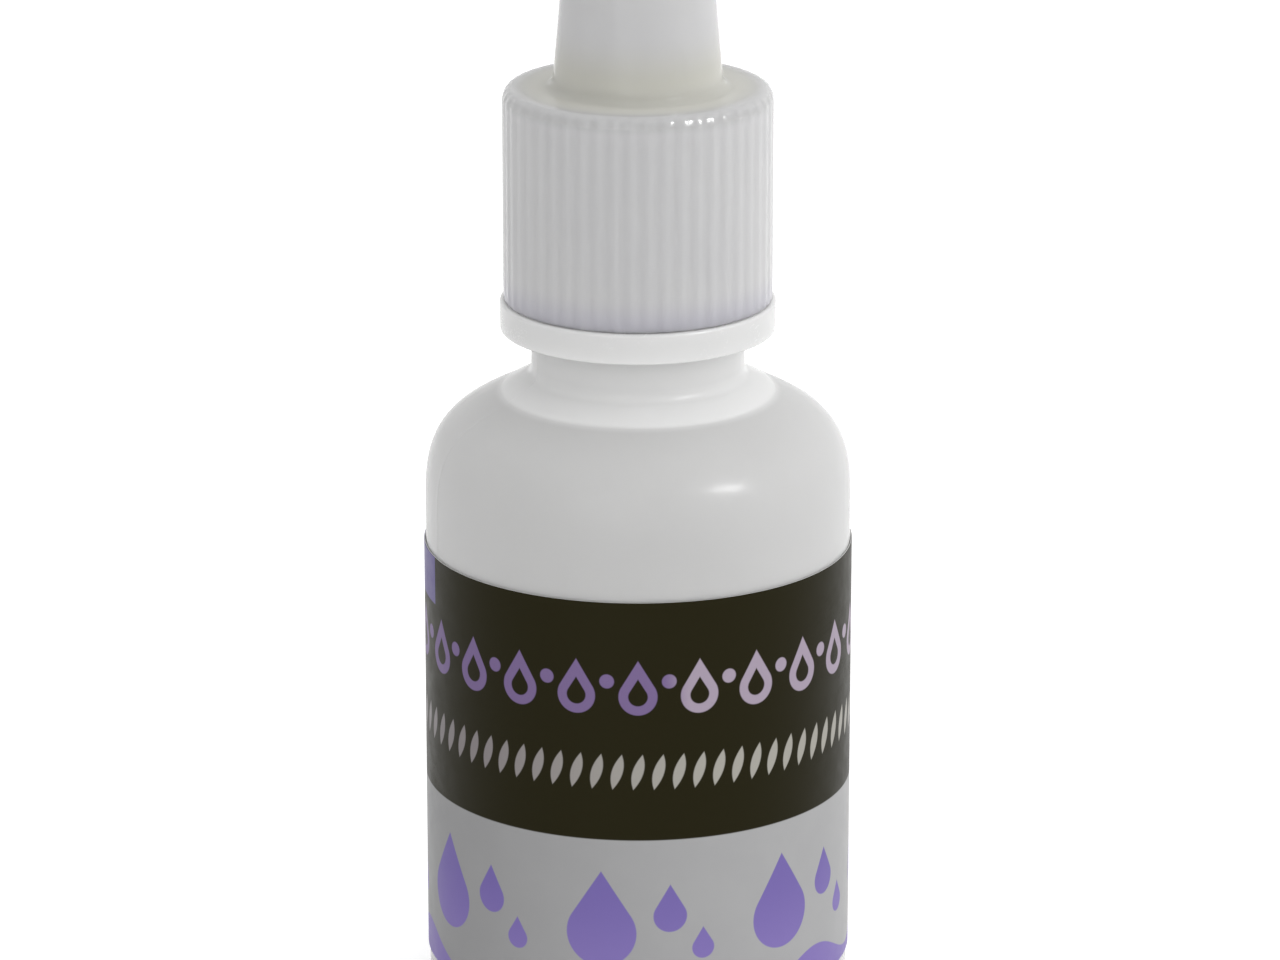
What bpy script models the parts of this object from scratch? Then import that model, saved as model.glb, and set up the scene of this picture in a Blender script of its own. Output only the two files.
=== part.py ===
"""Eye drop bottle: a squeeze bottle, its pressed-in dropper plug, a screw cap, a tamper ring and a label.

Sizes are in metres, with +Z up. The origin is on the bottle's axis, on the surface that it stands on,
and the front of the label faces -Y. Every piece is turned about Z, so each profile below is a list of
(radius, height) points.
"""

import math

import bmesh
import bpy
from mathutils import Matrix

# Bottle, from its foot to its neck
BODY_RADIUS = 0.0140
BODY_WALL = 0.0009
HEEL_RADIUS = 0.0030
FOOT_WIDTH = 0.0012
PUSH_UP_WIDTH = 0.0030
PUSH_UP_DEPTH = 0.0012
SHOULDER_Z = 0.0354
SHOULDER_HEIGHT = 0.00795
SHOULDER_WALL_REACH = 0.0058
SHOULDER_NECK_REACH = 0.0045
SHOULDER_SLOPE = math.radians(35)

# Neck: its plain foot, the bead that holds the tamper ring, and the narrower finish above it
FINISH_RADIUS = 0.0066
FINISH_WALL = 0.0011
NECK_STEP = 0.00035
NECK_FILLET = 0.0006
NECK_HEIGHT = 0.01695
BEAD_RISE = 0.0036
BEAD_DEPTH = 0.00075
BEAD_LAND = 0.0006
BEAD_SLOPE_HEIGHT = 0.0008
MOUTH_CHAMFER = 0.0003

# Screw thread, right-handed, shared by the neck and the cap
PITCH = 0.002117
THREAD_DEPTH = 0.00065
THREAD_CREST_WIDTH = 0.0004
THREAD_FLANK = math.radians(25)
THREAD_TOP_DROP = 0.0015
THREAD_CLEARANCE = 0.00015
CAP_THREAD_CLEARANCE = 0.0002
THREAD_SINK = 0.0003
THREAD_RUN_OUT = math.radians(24)
NECK_THREAD_TURNS = 1.5
CAP_THREAD_TURNS = 1.25

# Dropper plug, pressed into the mouth
PLUG_CLEARANCE = 0.00008
PLUG_BEAD_CLEARANCE = 0.00003
PLUG_BEAD_HEIGHT = 0.0009
PLUG_SEAT_GAP = 0.00006
PLUG_SKIRT_LENGTH = 0.0070
PLUG_WALL = 0.0010
PLUG_LEAD_IN = 0.0004
FLANGE_THICKNESS = 0.0008
FLANGE_INSET = 0.0002
NOZZLE_BASE_RADIUS = 0.0036
NOZZLE_BASE_FILLET = 0.0005
NOZZLE_TIP_RADIUS = 0.0017
NOZZLE_TIP_ROUNDING = 0.0006
NOZZLE_TIP_LAND = 0.00025
NOZZLE_TIP_LENGTH = 0.0026
NOZZLE_HEIGHT = 0.0120
NOZZLE_WALL = 0.0010
TIP_CUP_DEPTH = 0.0010
ORIFICE_RADIUS = 0.0003
ORIFICE_LENGTH = 0.0008

# Screw cap: ribbed skirt, flat top, tapered tower and the stopper pin inside it
CAP_SEAT_GAP = 0.00015
SKIRT_WALL = 0.0012
SKIRT_SLIT = 0.00016
SKIRT_LEAD_IN = 0.0004
TOP_THICKNESS = 0.0012
TOP_EDGE_RADIUS = 0.0008
RIB_COUNT = 50
RIB_HEIGHT = 0.0002
RIB_CREST_SHARE = 0.28
RIB_VALLEY_SHARE = 0.28
TOWER_CLEARANCE = 0.00075
TOWER_WALL = 0.0012
TOWER_DRAFT = math.radians(4.9)
TOWER_FILLET = 0.0009
TOWER_EDGE_RADIUS = 0.0014
TOWER_ROOF = 0.0015
TIP_CLEARANCE = 0.0006
PIN_CLEARANCE = 0.0003
PIN_END_RADIUS = 0.0002
PIN_REACH = 0.0007

# Tamper ring, loose on the neck below the cap
RING_WALL = 0.00107
RING_CLEARANCE = 0.00025
RING_LIP_CLEARANCE = 0.00025
RING_LIP_GAP = 0.00025
RING_LIP_THICKNESS = 0.00035
RING_EDGE_CHAMFER = 0.00012
STUB_COUNT = 8
STUB_WIDTH = 0.0007
STUB_DEPTH = 0.0005
STUB_HEIGHT = 0.00008
STUB_SINK = 0.0001
STUB_SKIRT_INSET = 0.0003

# Label, a film wrapped once around the straight wall
LABEL_HEEL_MARGIN = 0.0006
LABEL_SHOULDER_MARGIN = 0.0034
LABEL_GAP = 0.00005
LABEL_THICKNESS = 0.00008
LABEL_LAP = math.radians(12)
LABEL_LAP_RAMP = math.radians(4)
LABEL_LAP_GAP = 0.00002
LABEL_SEAM = math.radians(120)

# Steps around the axis and along each curve, and the angle past which an edge is left sharp
BOTTLE_STEPS = 48
PLUG_STEPS = 36
SHOULDER_STEPS = 9
ARC_STEPS = 4
SMALL_ARC_STEPS = 3
SHARP_ANGLE = math.radians(35)

# Radii and heights that follow from the sizes above, from the bottle to what fits on it
NECK_RADIUS = FINISH_RADIUS + NECK_STEP
NECK_BORE = FINISH_RADIUS - FINISH_WALL
NECK_Z = SHOULDER_Z + SHOULDER_HEIGHT
MOUTH_Z = NECK_Z + NECK_HEIGHT
BEAD_Z = NECK_Z + BEAD_RISE
BEAD_TOP_Z = BEAD_Z + BEAD_LAND + BEAD_SLOPE_HEIGHT
BEAD_RADIUS = NECK_RADIUS + BEAD_DEPTH
NECK_THREAD_Z = MOUTH_Z - THREAD_TOP_DROP - PITCH * NECK_THREAD_TURNS
FLANGE_TOP_Z = MOUTH_Z + PLUG_SEAT_GAP + FLANGE_THICKNESS
NOZZLE_TOP_Z = FLANGE_TOP_Z + NOZZLE_HEIGHT
TIP_CUP_RADIUS = NOZZLE_TIP_RADIUS - NOZZLE_TIP_ROUNDING - NOZZLE_TIP_LAND
RING_BOTTOM_Z = BEAD_Z - RING_LIP_GAP - RING_LIP_THICKNESS
RING_TOP_Z = BEAD_TOP_Z
RING_INNER_RADIUS = BEAD_RADIUS + RING_CLEARANCE
SKIRT_Z = RING_TOP_Z + SKIRT_SLIT
CAP_CEILING_Z = FLANGE_TOP_Z + CAP_SEAT_GAP
CAP_TOP_Z = CAP_CEILING_Z + TOP_THICKNESS
CAP_BORE = FINISH_RADIUS + THREAD_DEPTH + THREAD_CLEARANCE
SKIRT_RADIUS = CAP_BORE + SKIRT_WALL
TOWER_CEILING_Z = NOZZLE_TOP_Z + TIP_CLEARANCE
TOWER_TOP_Z = TOWER_CEILING_Z + TOWER_ROOF
TOWER_BORE = NOZZLE_BASE_RADIUS + TOWER_CLEARANCE
TOWER_RADIUS = TOWER_BORE + TOWER_WALL
LABEL_BOTTOM_Z = HEEL_RADIUS + LABEL_HEEL_MARGIN
LABEL_TOP_Z = SHOULDER_Z - LABEL_SHOULDER_MARGIN
LABEL_INNER_RADIUS = BODY_RADIUS + LABEL_GAP


def arc(centre, radius, start, end, steps=ARC_STEPS):
    """Points on a circle in the profile plane, from one angle to another, both ends included."""
    angles = [start + (end - start) * step / steps for step in range(steps + 1)]
    return [
        (centre[0] + radius * math.cos(angle), centre[1] + radius * math.sin(angle))
        for angle in angles
    ]


def shoulder_curve(wall_radius, neck_radius, neck_z, steps):
    """The shoulder, from the straight wall up to the neck: a cubic curve that leaves the wall upright."""
    reach_r = SHOULDER_NECK_REACH * math.cos(SHOULDER_SLOPE)
    reach_z = SHOULDER_NECK_REACH * math.sin(SHOULDER_SLOPE)
    corners = [
        (wall_radius, SHOULDER_Z),
        (wall_radius, SHOULDER_Z + SHOULDER_WALL_REACH),
        (neck_radius + reach_r, neck_z - reach_z),
        (neck_radius, neck_z),
    ]
    points = []
    for step in range(steps + 1):
        t = step / steps
        weights = [(1 - t) ** 3, 3 * t * (1 - t) ** 2, 3 * t**2 * (1 - t), t**3]
        radius = sum(weight * corner[0] for weight, corner in zip(weights, corners))
        height = sum(weight * corner[1] for weight, corner in zip(weights, corners))
        points.append((radius, height))
    return points


def push_up(outer_radius, base_z, steps=ARC_STEPS):
    """The rise of the base from the foot to its flat middle, from the outside in."""
    points = []
    for step in range(steps + 1):
        t = step / steps
        lift = PUSH_UP_DEPTH * (1 - math.cos(math.pi * t)) / 2
        points.append((outer_radius - PUSH_UP_WIDTH * t, base_z + lift))
    return points


def ring_of(bm, radius, height, steps):
    """A circle of vertices, or one vertex where the radius is zero."""
    if radius == 0:
        return [bm.verts.new((0, 0, height))]
    angles = [2 * math.pi * step / steps for step in range(steps)]
    return [
        bm.verts.new((radius * math.cos(angle), radius * math.sin(angle), height))
        for angle in angles
    ]


def skin(bm, first, second):
    """Faces between two rings. One may be a single vertex, or have a whole multiple of the other's vertices."""
    if len(first) < len(second):
        first, second = second, first
    count = len(first)
    if len(second) == 1:
        for index in range(count):
            bm.faces.new((first[index], first[(index + 1) % count], second[0]))
        return
    share = count // len(second)
    for index, corner in enumerate(second):
        following = second[(index + 1) % len(second)]
        row = [first[(index * share + step) % count] for step in range(share + 1)]
        bm.faces.new(row + [following, corner])


def finished_mesh(bm, name):
    """The mesh of a closed solid, with its faces pointing out and its curved faces shaded smooth."""
    bmesh.ops.recalc_face_normals(bm, faces=bm.faces)
    mesh = bpy.data.meshes.new(name)
    bm.to_mesh(mesh)
    bm.free()
    mesh.shade_smooth()
    mesh.set_sharp_from_angle(angle=SHARP_ANGLE)
    return mesh


def turned_mesh(name, profile, steps, loop=False):
    """A solid turned about Z. The profile starts and ends on the axis, or closes on itself."""
    bm = bmesh.new()
    rings = [ring_of(bm, radius, height, steps) for radius, height in profile]
    pairs = list(zip(rings, rings[1:]))
    if loop:
        pairs.append((rings[-1], rings[0]))
    for first, second in pairs:
        skin(bm, first, second)
    return finished_mesh(bm, name)


def thread_mesh(name, root_radius, crest_radius, start_z, turns, steps_per_turn):
    """A screw thread that stands off a wall, sunk a little into it, and runs out at both ends.

    start_z is the height of the middle line of its crest at its lower end, at angle zero.
    """
    outward = 1 if crest_radius > root_radius else -1
    sunk_radius = root_radius - outward * THREAD_SINK
    buried_radius = root_radius - outward * THREAD_SINK / 2
    crest_half = THREAD_CREST_WIDTH / 2
    sunk_half = crest_half + abs(crest_radius - sunk_radius) * math.tan(THREAD_FLANK)
    sweep = 2 * math.pi * turns
    steps = max(1, round(turns * steps_per_turn))
    bm = bmesh.new()
    sections = []
    for step in range(steps + 1):
        angle = sweep * step / steps
        fade = min(1, angle / THREAD_RUN_OUT, (sweep - angle) / THREAD_RUN_OUT)
        crest = buried_radius + (crest_radius - buried_radius) * fade
        height = start_z + PITCH * angle / (2 * math.pi)
        corners = [
            (sunk_radius, height - sunk_half),
            (crest, height - crest_half),
            (crest, height + crest_half),
            (sunk_radius, height + sunk_half),
        ]
        sections.append(
            [
                bm.verts.new((radius * math.cos(angle), radius * math.sin(angle), z))
                for radius, z in corners
            ]
        )
    for first, second in zip(sections, sections[1:]):
        skin(bm, first, second)
    bm.faces.new(sections[0])
    bm.faces.new(sections[-1])
    return finished_mesh(bm, name)


def material(name, colour, roughness):
    """A plain moulded plastic or film."""
    made = bpy.data.materials.new(name)
    made.use_nodes = True
    shader = made.node_tree.nodes["Principled BSDF"]
    shader.inputs["Base Color"].default_value = (*colour, 1)
    shader.inputs["Roughness"].default_value = roughness
    shader.inputs["Metallic"].default_value = 0
    made.diffuse_color = (*colour, 1)
    return made


def placed(name, mesh, finish, origin_z=0, parent=None):
    """An object whose origin is on the axis at the given height, around a mesh in the bottle's own frame."""
    mesh.transform(Matrix.Translation((0, 0, -origin_z)))
    mesh.materials.append(finish)
    piece = bpy.data.objects.new(name, mesh)
    piece.location = (0, 0, origin_z)
    piece.parent = parent
    bpy.context.scene.collection.objects.link(piece)
    return piece


def joined_by_union(piece, helper_mesh, name):
    """Fuses a shape in the bottle's own frame to a piece, and keeps it as a hidden guide."""
    helper = bpy.data.objects.new(name, helper_mesh)
    helper.hide_render = True
    helper.display_type = "WIRE"
    bpy.context.scene.collection.objects.link(helper)
    union = piece.modifiers.new(name, "BOOLEAN")
    union.operation = "UNION"
    union.solver = "EXACT"
    union.object = helper


def bottle_profile():
    """Up the inside from the middle of the base, over the mouth, and down the outside."""
    heel_centre = (BODY_RADIUS - HEEL_RADIUS, HEEL_RADIUS)
    foot_inner_radius = BODY_RADIUS - HEEL_RADIUS - FOOT_WIDTH
    slope_drop = BODY_WALL / math.cos(SHOULDER_SLOPE)
    slope_rise = (NECK_RADIUS - NECK_BORE) * math.tan(SHOULDER_SLOPE)
    inner_neck_z = NECK_Z + slope_rise - slope_drop

    inside = [(0, PUSH_UP_DEPTH + BODY_WALL)]
    inside += push_up(foot_inner_radius, BODY_WALL)[::-1]
    inside += arc(heel_centre, HEEL_RADIUS - BODY_WALL, -math.pi / 2, 0)
    inside += shoulder_curve(BODY_RADIUS - BODY_WALL, NECK_BORE, inner_neck_z, SHOULDER_STEPS)
    inside += [
        (NECK_BORE, MOUTH_Z - MOUTH_CHAMFER),
        (NECK_BORE + MOUTH_CHAMFER, MOUTH_Z),
    ]

    # The fillet touches the neck's wall and the slope of the shoulder.
    fillet_turn = math.pi / 2 - SHOULDER_SLOPE
    fillet_r = NECK_RADIUS + NECK_FILLET
    fillet_reach = NECK_FILLET * math.tan(fillet_turn / 2)
    fillet_centre = (fillet_r, NECK_Z + fillet_reach)
    fillet = arc(fillet_centre, NECK_FILLET, math.pi, math.pi + fillet_turn, SMALL_ARC_STEPS)
    outside = [
        (FINISH_RADIUS - MOUTH_CHAMFER, MOUTH_Z),
        (FINISH_RADIUS, MOUTH_Z - MOUTH_CHAMFER),
        (FINISH_RADIUS, BEAD_TOP_Z),
        (BEAD_RADIUS, BEAD_Z + BEAD_LAND),
        (BEAD_RADIUS, BEAD_Z),
        (NECK_RADIUS, BEAD_Z),
    ]
    outside += fillet
    outside += shoulder_curve(BODY_RADIUS, NECK_RADIUS, NECK_Z, SHOULDER_STEPS)[-2::-1]
    outside += arc(heel_centre, HEEL_RADIUS, 0, -math.pi / 2)
    outside += push_up(foot_inner_radius, 0)
    outside += [(0, PUSH_UP_DEPTH)]
    return inside + outside


def make_bottle():
    """The blow-moulded bottle, with the thread on its neck."""
    finish = material("milky_bottle_plastic", (0.56, 0.56, 0.56), 0.32)
    mesh = turned_mesh("bottle", bottle_profile(), BOTTLE_STEPS)
    bottle = placed("bottle", mesh, finish)
    thread = thread_mesh(
        "neck_thread",
        FINISH_RADIUS,
        FINISH_RADIUS + THREAD_DEPTH,
        NECK_THREAD_Z,
        NECK_THREAD_TURNS,
        BOTTLE_STEPS,
    )
    joined_by_union(bottle, thread, "neck_thread")
    return bottle


def plug_profile():
    """Up the drop channel to the orifice, down the nozzle and the flange, and down the skirt."""
    skirt_radius = NECK_BORE - PLUG_CLEARANCE
    skirt_bottom_z = MOUTH_Z - PLUG_SKIRT_LENGTH
    skirt_inner = skirt_radius - PLUG_WALL
    flange_radius = FINISH_RADIUS - FLANGE_INSET
    flange_bottom_z = MOUTH_Z + PLUG_SEAT_GAP
    channel_radius = NOZZLE_BASE_RADIUS - NOZZLE_WALL
    orifice_z = NOZZLE_TOP_Z - TIP_CUP_DEPTH
    channel_top_z = orifice_z - ORIFICE_LENGTH
    tip_bottom_z = NOZZLE_TOP_Z - NOZZLE_TIP_LENGTH
    rounding = (NOZZLE_TIP_RADIUS - NOZZLE_TIP_ROUNDING, NOZZLE_TOP_Z - NOZZLE_TIP_ROUNDING)
    base_fillet = (NOZZLE_BASE_RADIUS + NOZZLE_BASE_FILLET, FLANGE_TOP_Z + NOZZLE_BASE_FILLET)

    inside = [
        (skirt_inner, skirt_bottom_z),
        (skirt_inner, MOUTH_Z - PLUG_WALL),
        (channel_radius, MOUTH_Z),
        (ORIFICE_RADIUS, channel_top_z),
        (ORIFICE_RADIUS, orifice_z),
        (TIP_CUP_RADIUS, NOZZLE_TOP_Z),
    ]
    nozzle = arc(rounding, NOZZLE_TIP_ROUNDING, math.pi / 2, 0)
    nozzle += [(NOZZLE_TIP_RADIUS, tip_bottom_z)]
    nozzle += arc(base_fillet, NOZZLE_BASE_FILLET, math.pi, 3 * math.pi / 2, SMALL_ARC_STEPS)
    flange = [
        (flange_radius, FLANGE_TOP_Z),
        (flange_radius, flange_bottom_z),
        (skirt_radius, flange_bottom_z),
    ]
    # Two sealing beads divide the skirt's length in three.
    skirt = []
    for bead in (1, 2):
        bead_z = MOUTH_Z - PLUG_SKIRT_LENGTH * bead / 3
        skirt += [
            (skirt_radius, bead_z + PLUG_BEAD_HEIGHT / 2),
            (NECK_BORE - PLUG_BEAD_CLEARANCE, bead_z),
            (skirt_radius, bead_z - PLUG_BEAD_HEIGHT / 2),
        ]
    skirt += [
        (skirt_radius, skirt_bottom_z + PLUG_LEAD_IN),
        (skirt_radius - PLUG_LEAD_IN, skirt_bottom_z),
    ]
    return inside + nozzle + flange + skirt


def make_dropper_plug(bottle):
    """The nozzle insert, a tube from the bottle's inside to the orifice."""
    finish = material("natural_plug_plastic", (0.68, 0.69, 0.68), 0.30)
    mesh = turned_mesh("dropper_plug", plug_profile(), PLUG_STEPS, loop=True)
    return placed("dropper_plug", mesh, finish, MOUTH_Z, bottle)


def ribbed_ring(bm, radius, height, rib_height):
    """A ring with four vertices to each rib: two on its crest and two in the valley after it."""
    rib_pitch = 2 * math.pi / RIB_COUNT
    crest = rib_pitch * RIB_CREST_SHARE / 2
    valley = rib_pitch * RIB_VALLEY_SHARE / 2
    vertices = []
    for rib in range(RIB_COUNT):
        middle = rib * rib_pitch
        for angle, reach in (
            (middle - crest, radius + rib_height),
            (middle + crest, radius + rib_height),
            (middle + rib_pitch / 2 - valley, radius),
            (middle + rib_pitch / 2 + valley, radius),
        ):
            vertices.append(
                bm.verts.new((reach * math.cos(angle), reach * math.sin(angle), height))
            )
    return vertices


def tower_profile():
    """From the flat top up the tower's outside to its middle."""
    slope = math.tan(TOWER_DRAFT)
    fillet_z = CAP_TOP_Z + TOWER_FILLET
    fillet_r = TOWER_RADIUS - TOWER_FILLET * slope + TOWER_FILLET / math.cos(TOWER_DRAFT)
    edge_z = TOWER_TOP_Z - TOWER_EDGE_RADIUS
    edge_r = TOWER_RADIUS - (edge_z - CAP_TOP_Z) * slope - TOWER_EDGE_RADIUS / math.cos(TOWER_DRAFT)
    points = arc((fillet_r, fillet_z), TOWER_FILLET, 3 * math.pi / 2, math.pi + TOWER_DRAFT)
    points += arc((edge_r, edge_z), TOWER_EDGE_RADIUS, TOWER_DRAFT, math.pi / 2)
    return points + [(0, TOWER_TOP_Z)]


def cap_inside_profile():
    """From the middle of the tower's ceiling, past the stopper pin, down to the skirt's lower edge."""
    ceiling_radius = TOWER_BORE - (TOWER_CEILING_Z - CAP_CEILING_Z) * math.tan(TOWER_DRAFT)
    pin_end_z = NOZZLE_TOP_Z - PIN_REACH
    return [
        (0, pin_end_z),
        (PIN_END_RADIUS, pin_end_z),
        (TIP_CUP_RADIUS - PIN_CLEARANCE, TOWER_CEILING_Z),
        (ceiling_radius, TOWER_CEILING_Z),
        (TOWER_BORE, CAP_CEILING_Z),
        (CAP_BORE, CAP_CEILING_Z),
        (CAP_BORE, SKIRT_Z + SKIRT_LEAD_IN),
        (CAP_BORE + SKIRT_LEAD_IN / 2, SKIRT_Z),
    ]


def cap_mesh():
    """The cap as rings: up the ribbed skirt, over the tower, and down the inside to the skirt again."""
    bm = bmesh.new()
    rings = [ribbed_ring(bm, SKIRT_RADIUS, SKIRT_Z, RIB_HEIGHT)]
    edge_centre = (SKIRT_RADIUS - TOP_EDGE_RADIUS, CAP_TOP_Z - TOP_EDGE_RADIUS)
    for step, (radius, height) in enumerate(arc(edge_centre, TOP_EDGE_RADIUS, 0, math.pi / 2)):
        fade = 1 - step / ARC_STEPS
        rings.append(ribbed_ring(bm, radius, height, RIB_HEIGHT * fade))
    rings += [ring_of(bm, radius, height, RIB_COUNT) for radius, height in tower_profile()]
    for first, second in zip(rings, rings[1:]):
        skin(bm, first, second)
    inside = [ring_of(bm, radius, height, RIB_COUNT) for radius, height in cap_inside_profile()]
    for first, second in zip(inside, inside[1:]):
        skin(bm, first, second)
    skin(bm, inside[-1], rings[0])
    return finished_mesh(bm, "screw_cap")


def make_screw_cap(bottle):
    """The cap, with a thread half a pitch below the neck's, so that the two never touch."""
    finish = material("milky_cap_plastic", (0.58, 0.58, 0.57), 0.34)
    cap = placed("screw_cap", cap_mesh(), finish, SKIRT_Z, bottle)
    thread = thread_mesh(
        "cap_thread",
        CAP_BORE,
        FINISH_RADIUS + CAP_THREAD_CLEARANCE,
        NECK_THREAD_Z - PITCH / 2,
        CAP_THREAD_TURNS,
        RIB_COUNT,
    )
    joined_by_union(cap, thread, "cap_thread")
    return cap


def ring_profile():
    """The ring's section, closed on itself: a plain band with a lip that catches below the neck's bead."""
    outer = RING_INNER_RADIUS + RING_WALL
    lip_radius = NECK_RADIUS + RING_LIP_CLEARANCE
    lip_top_z = BEAD_Z - RING_LIP_GAP
    return [
        (outer, RING_BOTTOM_Z + RING_EDGE_CHAMFER),
        (outer, RING_TOP_Z - RING_EDGE_CHAMFER),
        (outer - RING_EDGE_CHAMFER, RING_TOP_Z),
        (RING_INNER_RADIUS, RING_TOP_Z),
        (RING_INNER_RADIUS, lip_top_z),
        (lip_radius, lip_top_z),
        (lip_radius, RING_BOTTOM_Z),
        (outer - RING_EDGE_CHAMFER, RING_BOTTOM_Z),
    ]


def stub_mesh():
    """The ends of the broken bridges, short blocks around the ring's upper face."""
    middle_radius = SKIRT_RADIUS - STUB_SKIRT_INSET
    middle_z = RING_TOP_Z + (STUB_HEIGHT - STUB_SINK) / 2
    size = Matrix.Diagonal((STUB_DEPTH, STUB_WIDTH, STUB_HEIGHT + STUB_SINK, 1))
    bm = bmesh.new()
    for stub in range(STUB_COUNT):
        turn = Matrix.Rotation(2 * math.pi * (stub + 1 / 2) / STUB_COUNT, 4, "Z")
        place = turn @ Matrix.Translation((middle_radius, 0, middle_z))
        bmesh.ops.create_cube(bm, size=1, matrix=place @ size)
    return finished_mesh(bm, "bridge_stubs")


def make_tamper_ring(bottle):
    """The band that the cap leaves on the neck when its bridges break."""
    finish = material("natural_ring_plastic", (0.72, 0.72, 0.71), 0.30)
    mesh = turned_mesh("tamper_ring", ring_profile(), BOTTLE_STEPS, loop=True)
    ring = placed("tamper_ring", mesh, finish, RING_BOTTOM_Z, bottle)
    joined_by_union(ring, stub_mesh(), "bridge_stubs")
    return ring


def label_mesh():
    """The film, whose last few degrees climb over its first and lie on them."""
    step_angle = 2 * math.pi / BOTTLE_STEPS
    lift = LABEL_THICKNESS + LABEL_LAP_GAP
    end = 2 * math.pi + LABEL_LAP
    turned = [step * step_angle for step in range(1, BOTTLE_STEPS)]
    turned = [0] + turned + [2 * math.pi - LABEL_LAP_RAMP, 2 * math.pi, end - LABEL_LAP / 2, end]
    bm = bmesh.new()
    sections = []
    for angle in sorted(set(turned)):
        climb = (angle - 2 * math.pi + LABEL_LAP_RAMP) / LABEL_LAP_RAMP
        inner = LABEL_INNER_RADIUS + lift * min(1, max(0, climb))
        outer = inner + LABEL_THICKNESS
        across = math.cos(LABEL_SEAM + angle)
        deep = math.sin(LABEL_SEAM + angle)
        corners = [
            (inner, LABEL_BOTTOM_Z),
            (outer, LABEL_BOTTOM_Z),
            (outer, LABEL_TOP_Z),
            (inner, LABEL_TOP_Z),
        ]
        sections.append(
            [bm.verts.new((radius * across, radius * deep, z)) for radius, z in corners]
        )
    for first, second in zip(sections, sections[1:]):
        skin(bm, first, second)
    bm.faces.new(sections[0])
    bm.faces.new(sections[-1])
    return finished_mesh(bm, "label")


def make_label(bottle):
    """The wraparound label."""
    finish = material("label_film", (0.30, 0.30, 0.31), 0.35)
    return placed("label", label_mesh(), finish, LABEL_BOTTOM_Z, bottle)


for old in list(bpy.data.objects):
    bpy.data.objects.remove(old)

bottle_object = make_bottle()
make_dropper_plug(bottle_object)
make_tamper_ring(bottle_object)
make_screw_cap(bottle_object)
make_label(bottle_object)
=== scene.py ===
"""The eye drop bottle's looks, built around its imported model: five pieces, their finishes and a small studio.

Sizes are in metres, written as millimetres times MM, with +Z up. The bottle's axis is Z, it stands on
z = 0, and the front of its label faces -Y.
"""

import math

import bmesh
import bpy
from mathutils import Matrix, Vector


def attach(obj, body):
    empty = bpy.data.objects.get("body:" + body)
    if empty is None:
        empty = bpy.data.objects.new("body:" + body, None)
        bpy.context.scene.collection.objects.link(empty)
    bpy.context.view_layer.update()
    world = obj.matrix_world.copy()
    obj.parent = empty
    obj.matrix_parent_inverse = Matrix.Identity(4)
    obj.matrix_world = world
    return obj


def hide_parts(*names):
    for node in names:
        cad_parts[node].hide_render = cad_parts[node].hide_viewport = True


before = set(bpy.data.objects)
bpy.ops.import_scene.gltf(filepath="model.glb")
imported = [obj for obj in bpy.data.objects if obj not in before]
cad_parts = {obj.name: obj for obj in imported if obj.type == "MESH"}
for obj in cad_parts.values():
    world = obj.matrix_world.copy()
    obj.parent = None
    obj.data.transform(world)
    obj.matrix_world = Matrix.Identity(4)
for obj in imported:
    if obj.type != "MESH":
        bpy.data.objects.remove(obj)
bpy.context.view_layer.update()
MM = 0.001


# The bottle is blow-moulded in one piece from milky low-density polyethylene. Its mould halves leave a
# parting line down both sides and a pinched seam under the base. The insert that shapes its neck leaves a
# faint step on the shoulder, and a thicker, whiter ring of wall inside that step, which is also painted
# lighter as painted light on its upward face.
BODY_RADIUS = 14.0 * MM
BODY_WALL = 0.9 * MM
HEEL_WIDTH = 3.0 * MM
HEEL_HEIGHT = 2.0 * MM
FOOT_WIDTH = 1.2 * MM
FOOT_RADIUS = BODY_RADIUS - HEEL_WIDTH - FOOT_WIDTH
PUSH_UP_WIDTH = 3.0 * MM
PUSH_UP_DEPTH = 1.2 * MM
PUSH_UP_STEPS = 12
SHOULDER_Z = 35.4 * MM
SHOULDER_HEIGHT = 7.95 * MM
SHOULDER_WALL_REACH = 5.8 * MM
SHOULDER_NECK_REACH = 4.5 * MM
SHOULDER_SLOPE = math.radians(35)
SHOULDER_STEPS = 40
FINISH_RADIUS = 6.6 * MM
NECK_RADIUS = 6.95 * MM
NECK_BORE = 5.5 * MM
NECK_FILLET = 1.0 * MM
NECK_HEIGHT = 16.95 * MM
NECK_Z = SHOULDER_Z + SHOULDER_HEIGHT
MOUTH_Z = NECK_Z + NECK_HEIGHT
MOUTH_CHAMFER = 0.3 * MM
BEAD_RISE = 3.6 * MM
BEAD_DEPTH = 0.75 * MM
BEAD_LAND = 0.6 * MM
BEAD_SLOPE_HEIGHT = 0.8 * MM
BEAD_Z = NECK_Z + BEAD_RISE
BEAD_RADIUS = NECK_RADIUS + BEAD_DEPTH
BEAD_TOP_Z = BEAD_Z + BEAD_LAND + BEAD_SLOPE_HEIGHT
INSERT_RADIUS = 9.0 * MM
INSERT_STEP = 0.05 * MM
INSERT_STEP_WIDTH = 0.12 * MM
PITCH = 2.117 * MM
THREAD_DEPTH = 0.65 * MM
THREAD_CREST_WIDTH = 0.4 * MM
THREAD_FLANK = math.radians(25)
THREAD_SINK = 0.3 * MM
THREAD_RUN_OUT = math.radians(24)
THREAD_TOP_DROP = 1.5 * MM
NECK_THREAD_TURNS = 1.5
NECK_THREAD_Z = MOUTH_Z - THREAD_TOP_DROP - PITCH * NECK_THREAD_TURNS
PARTING_ANGLE = math.radians(201)
PARTING_HEIGHT = 0.035 * MM
PARTING_HALF_WIDTH = math.radians(0.55)
PINCH_LENGTH = 12.0 * MM
PINCH_WIDTH = 0.5 * MM
PINCH_HEIGHT = 0.18 * MM
BASE_MIDDLE_RINGS = 16
BOTTLE_STEPS = 180
SHARP_ANGLE = math.radians(40)


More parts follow.
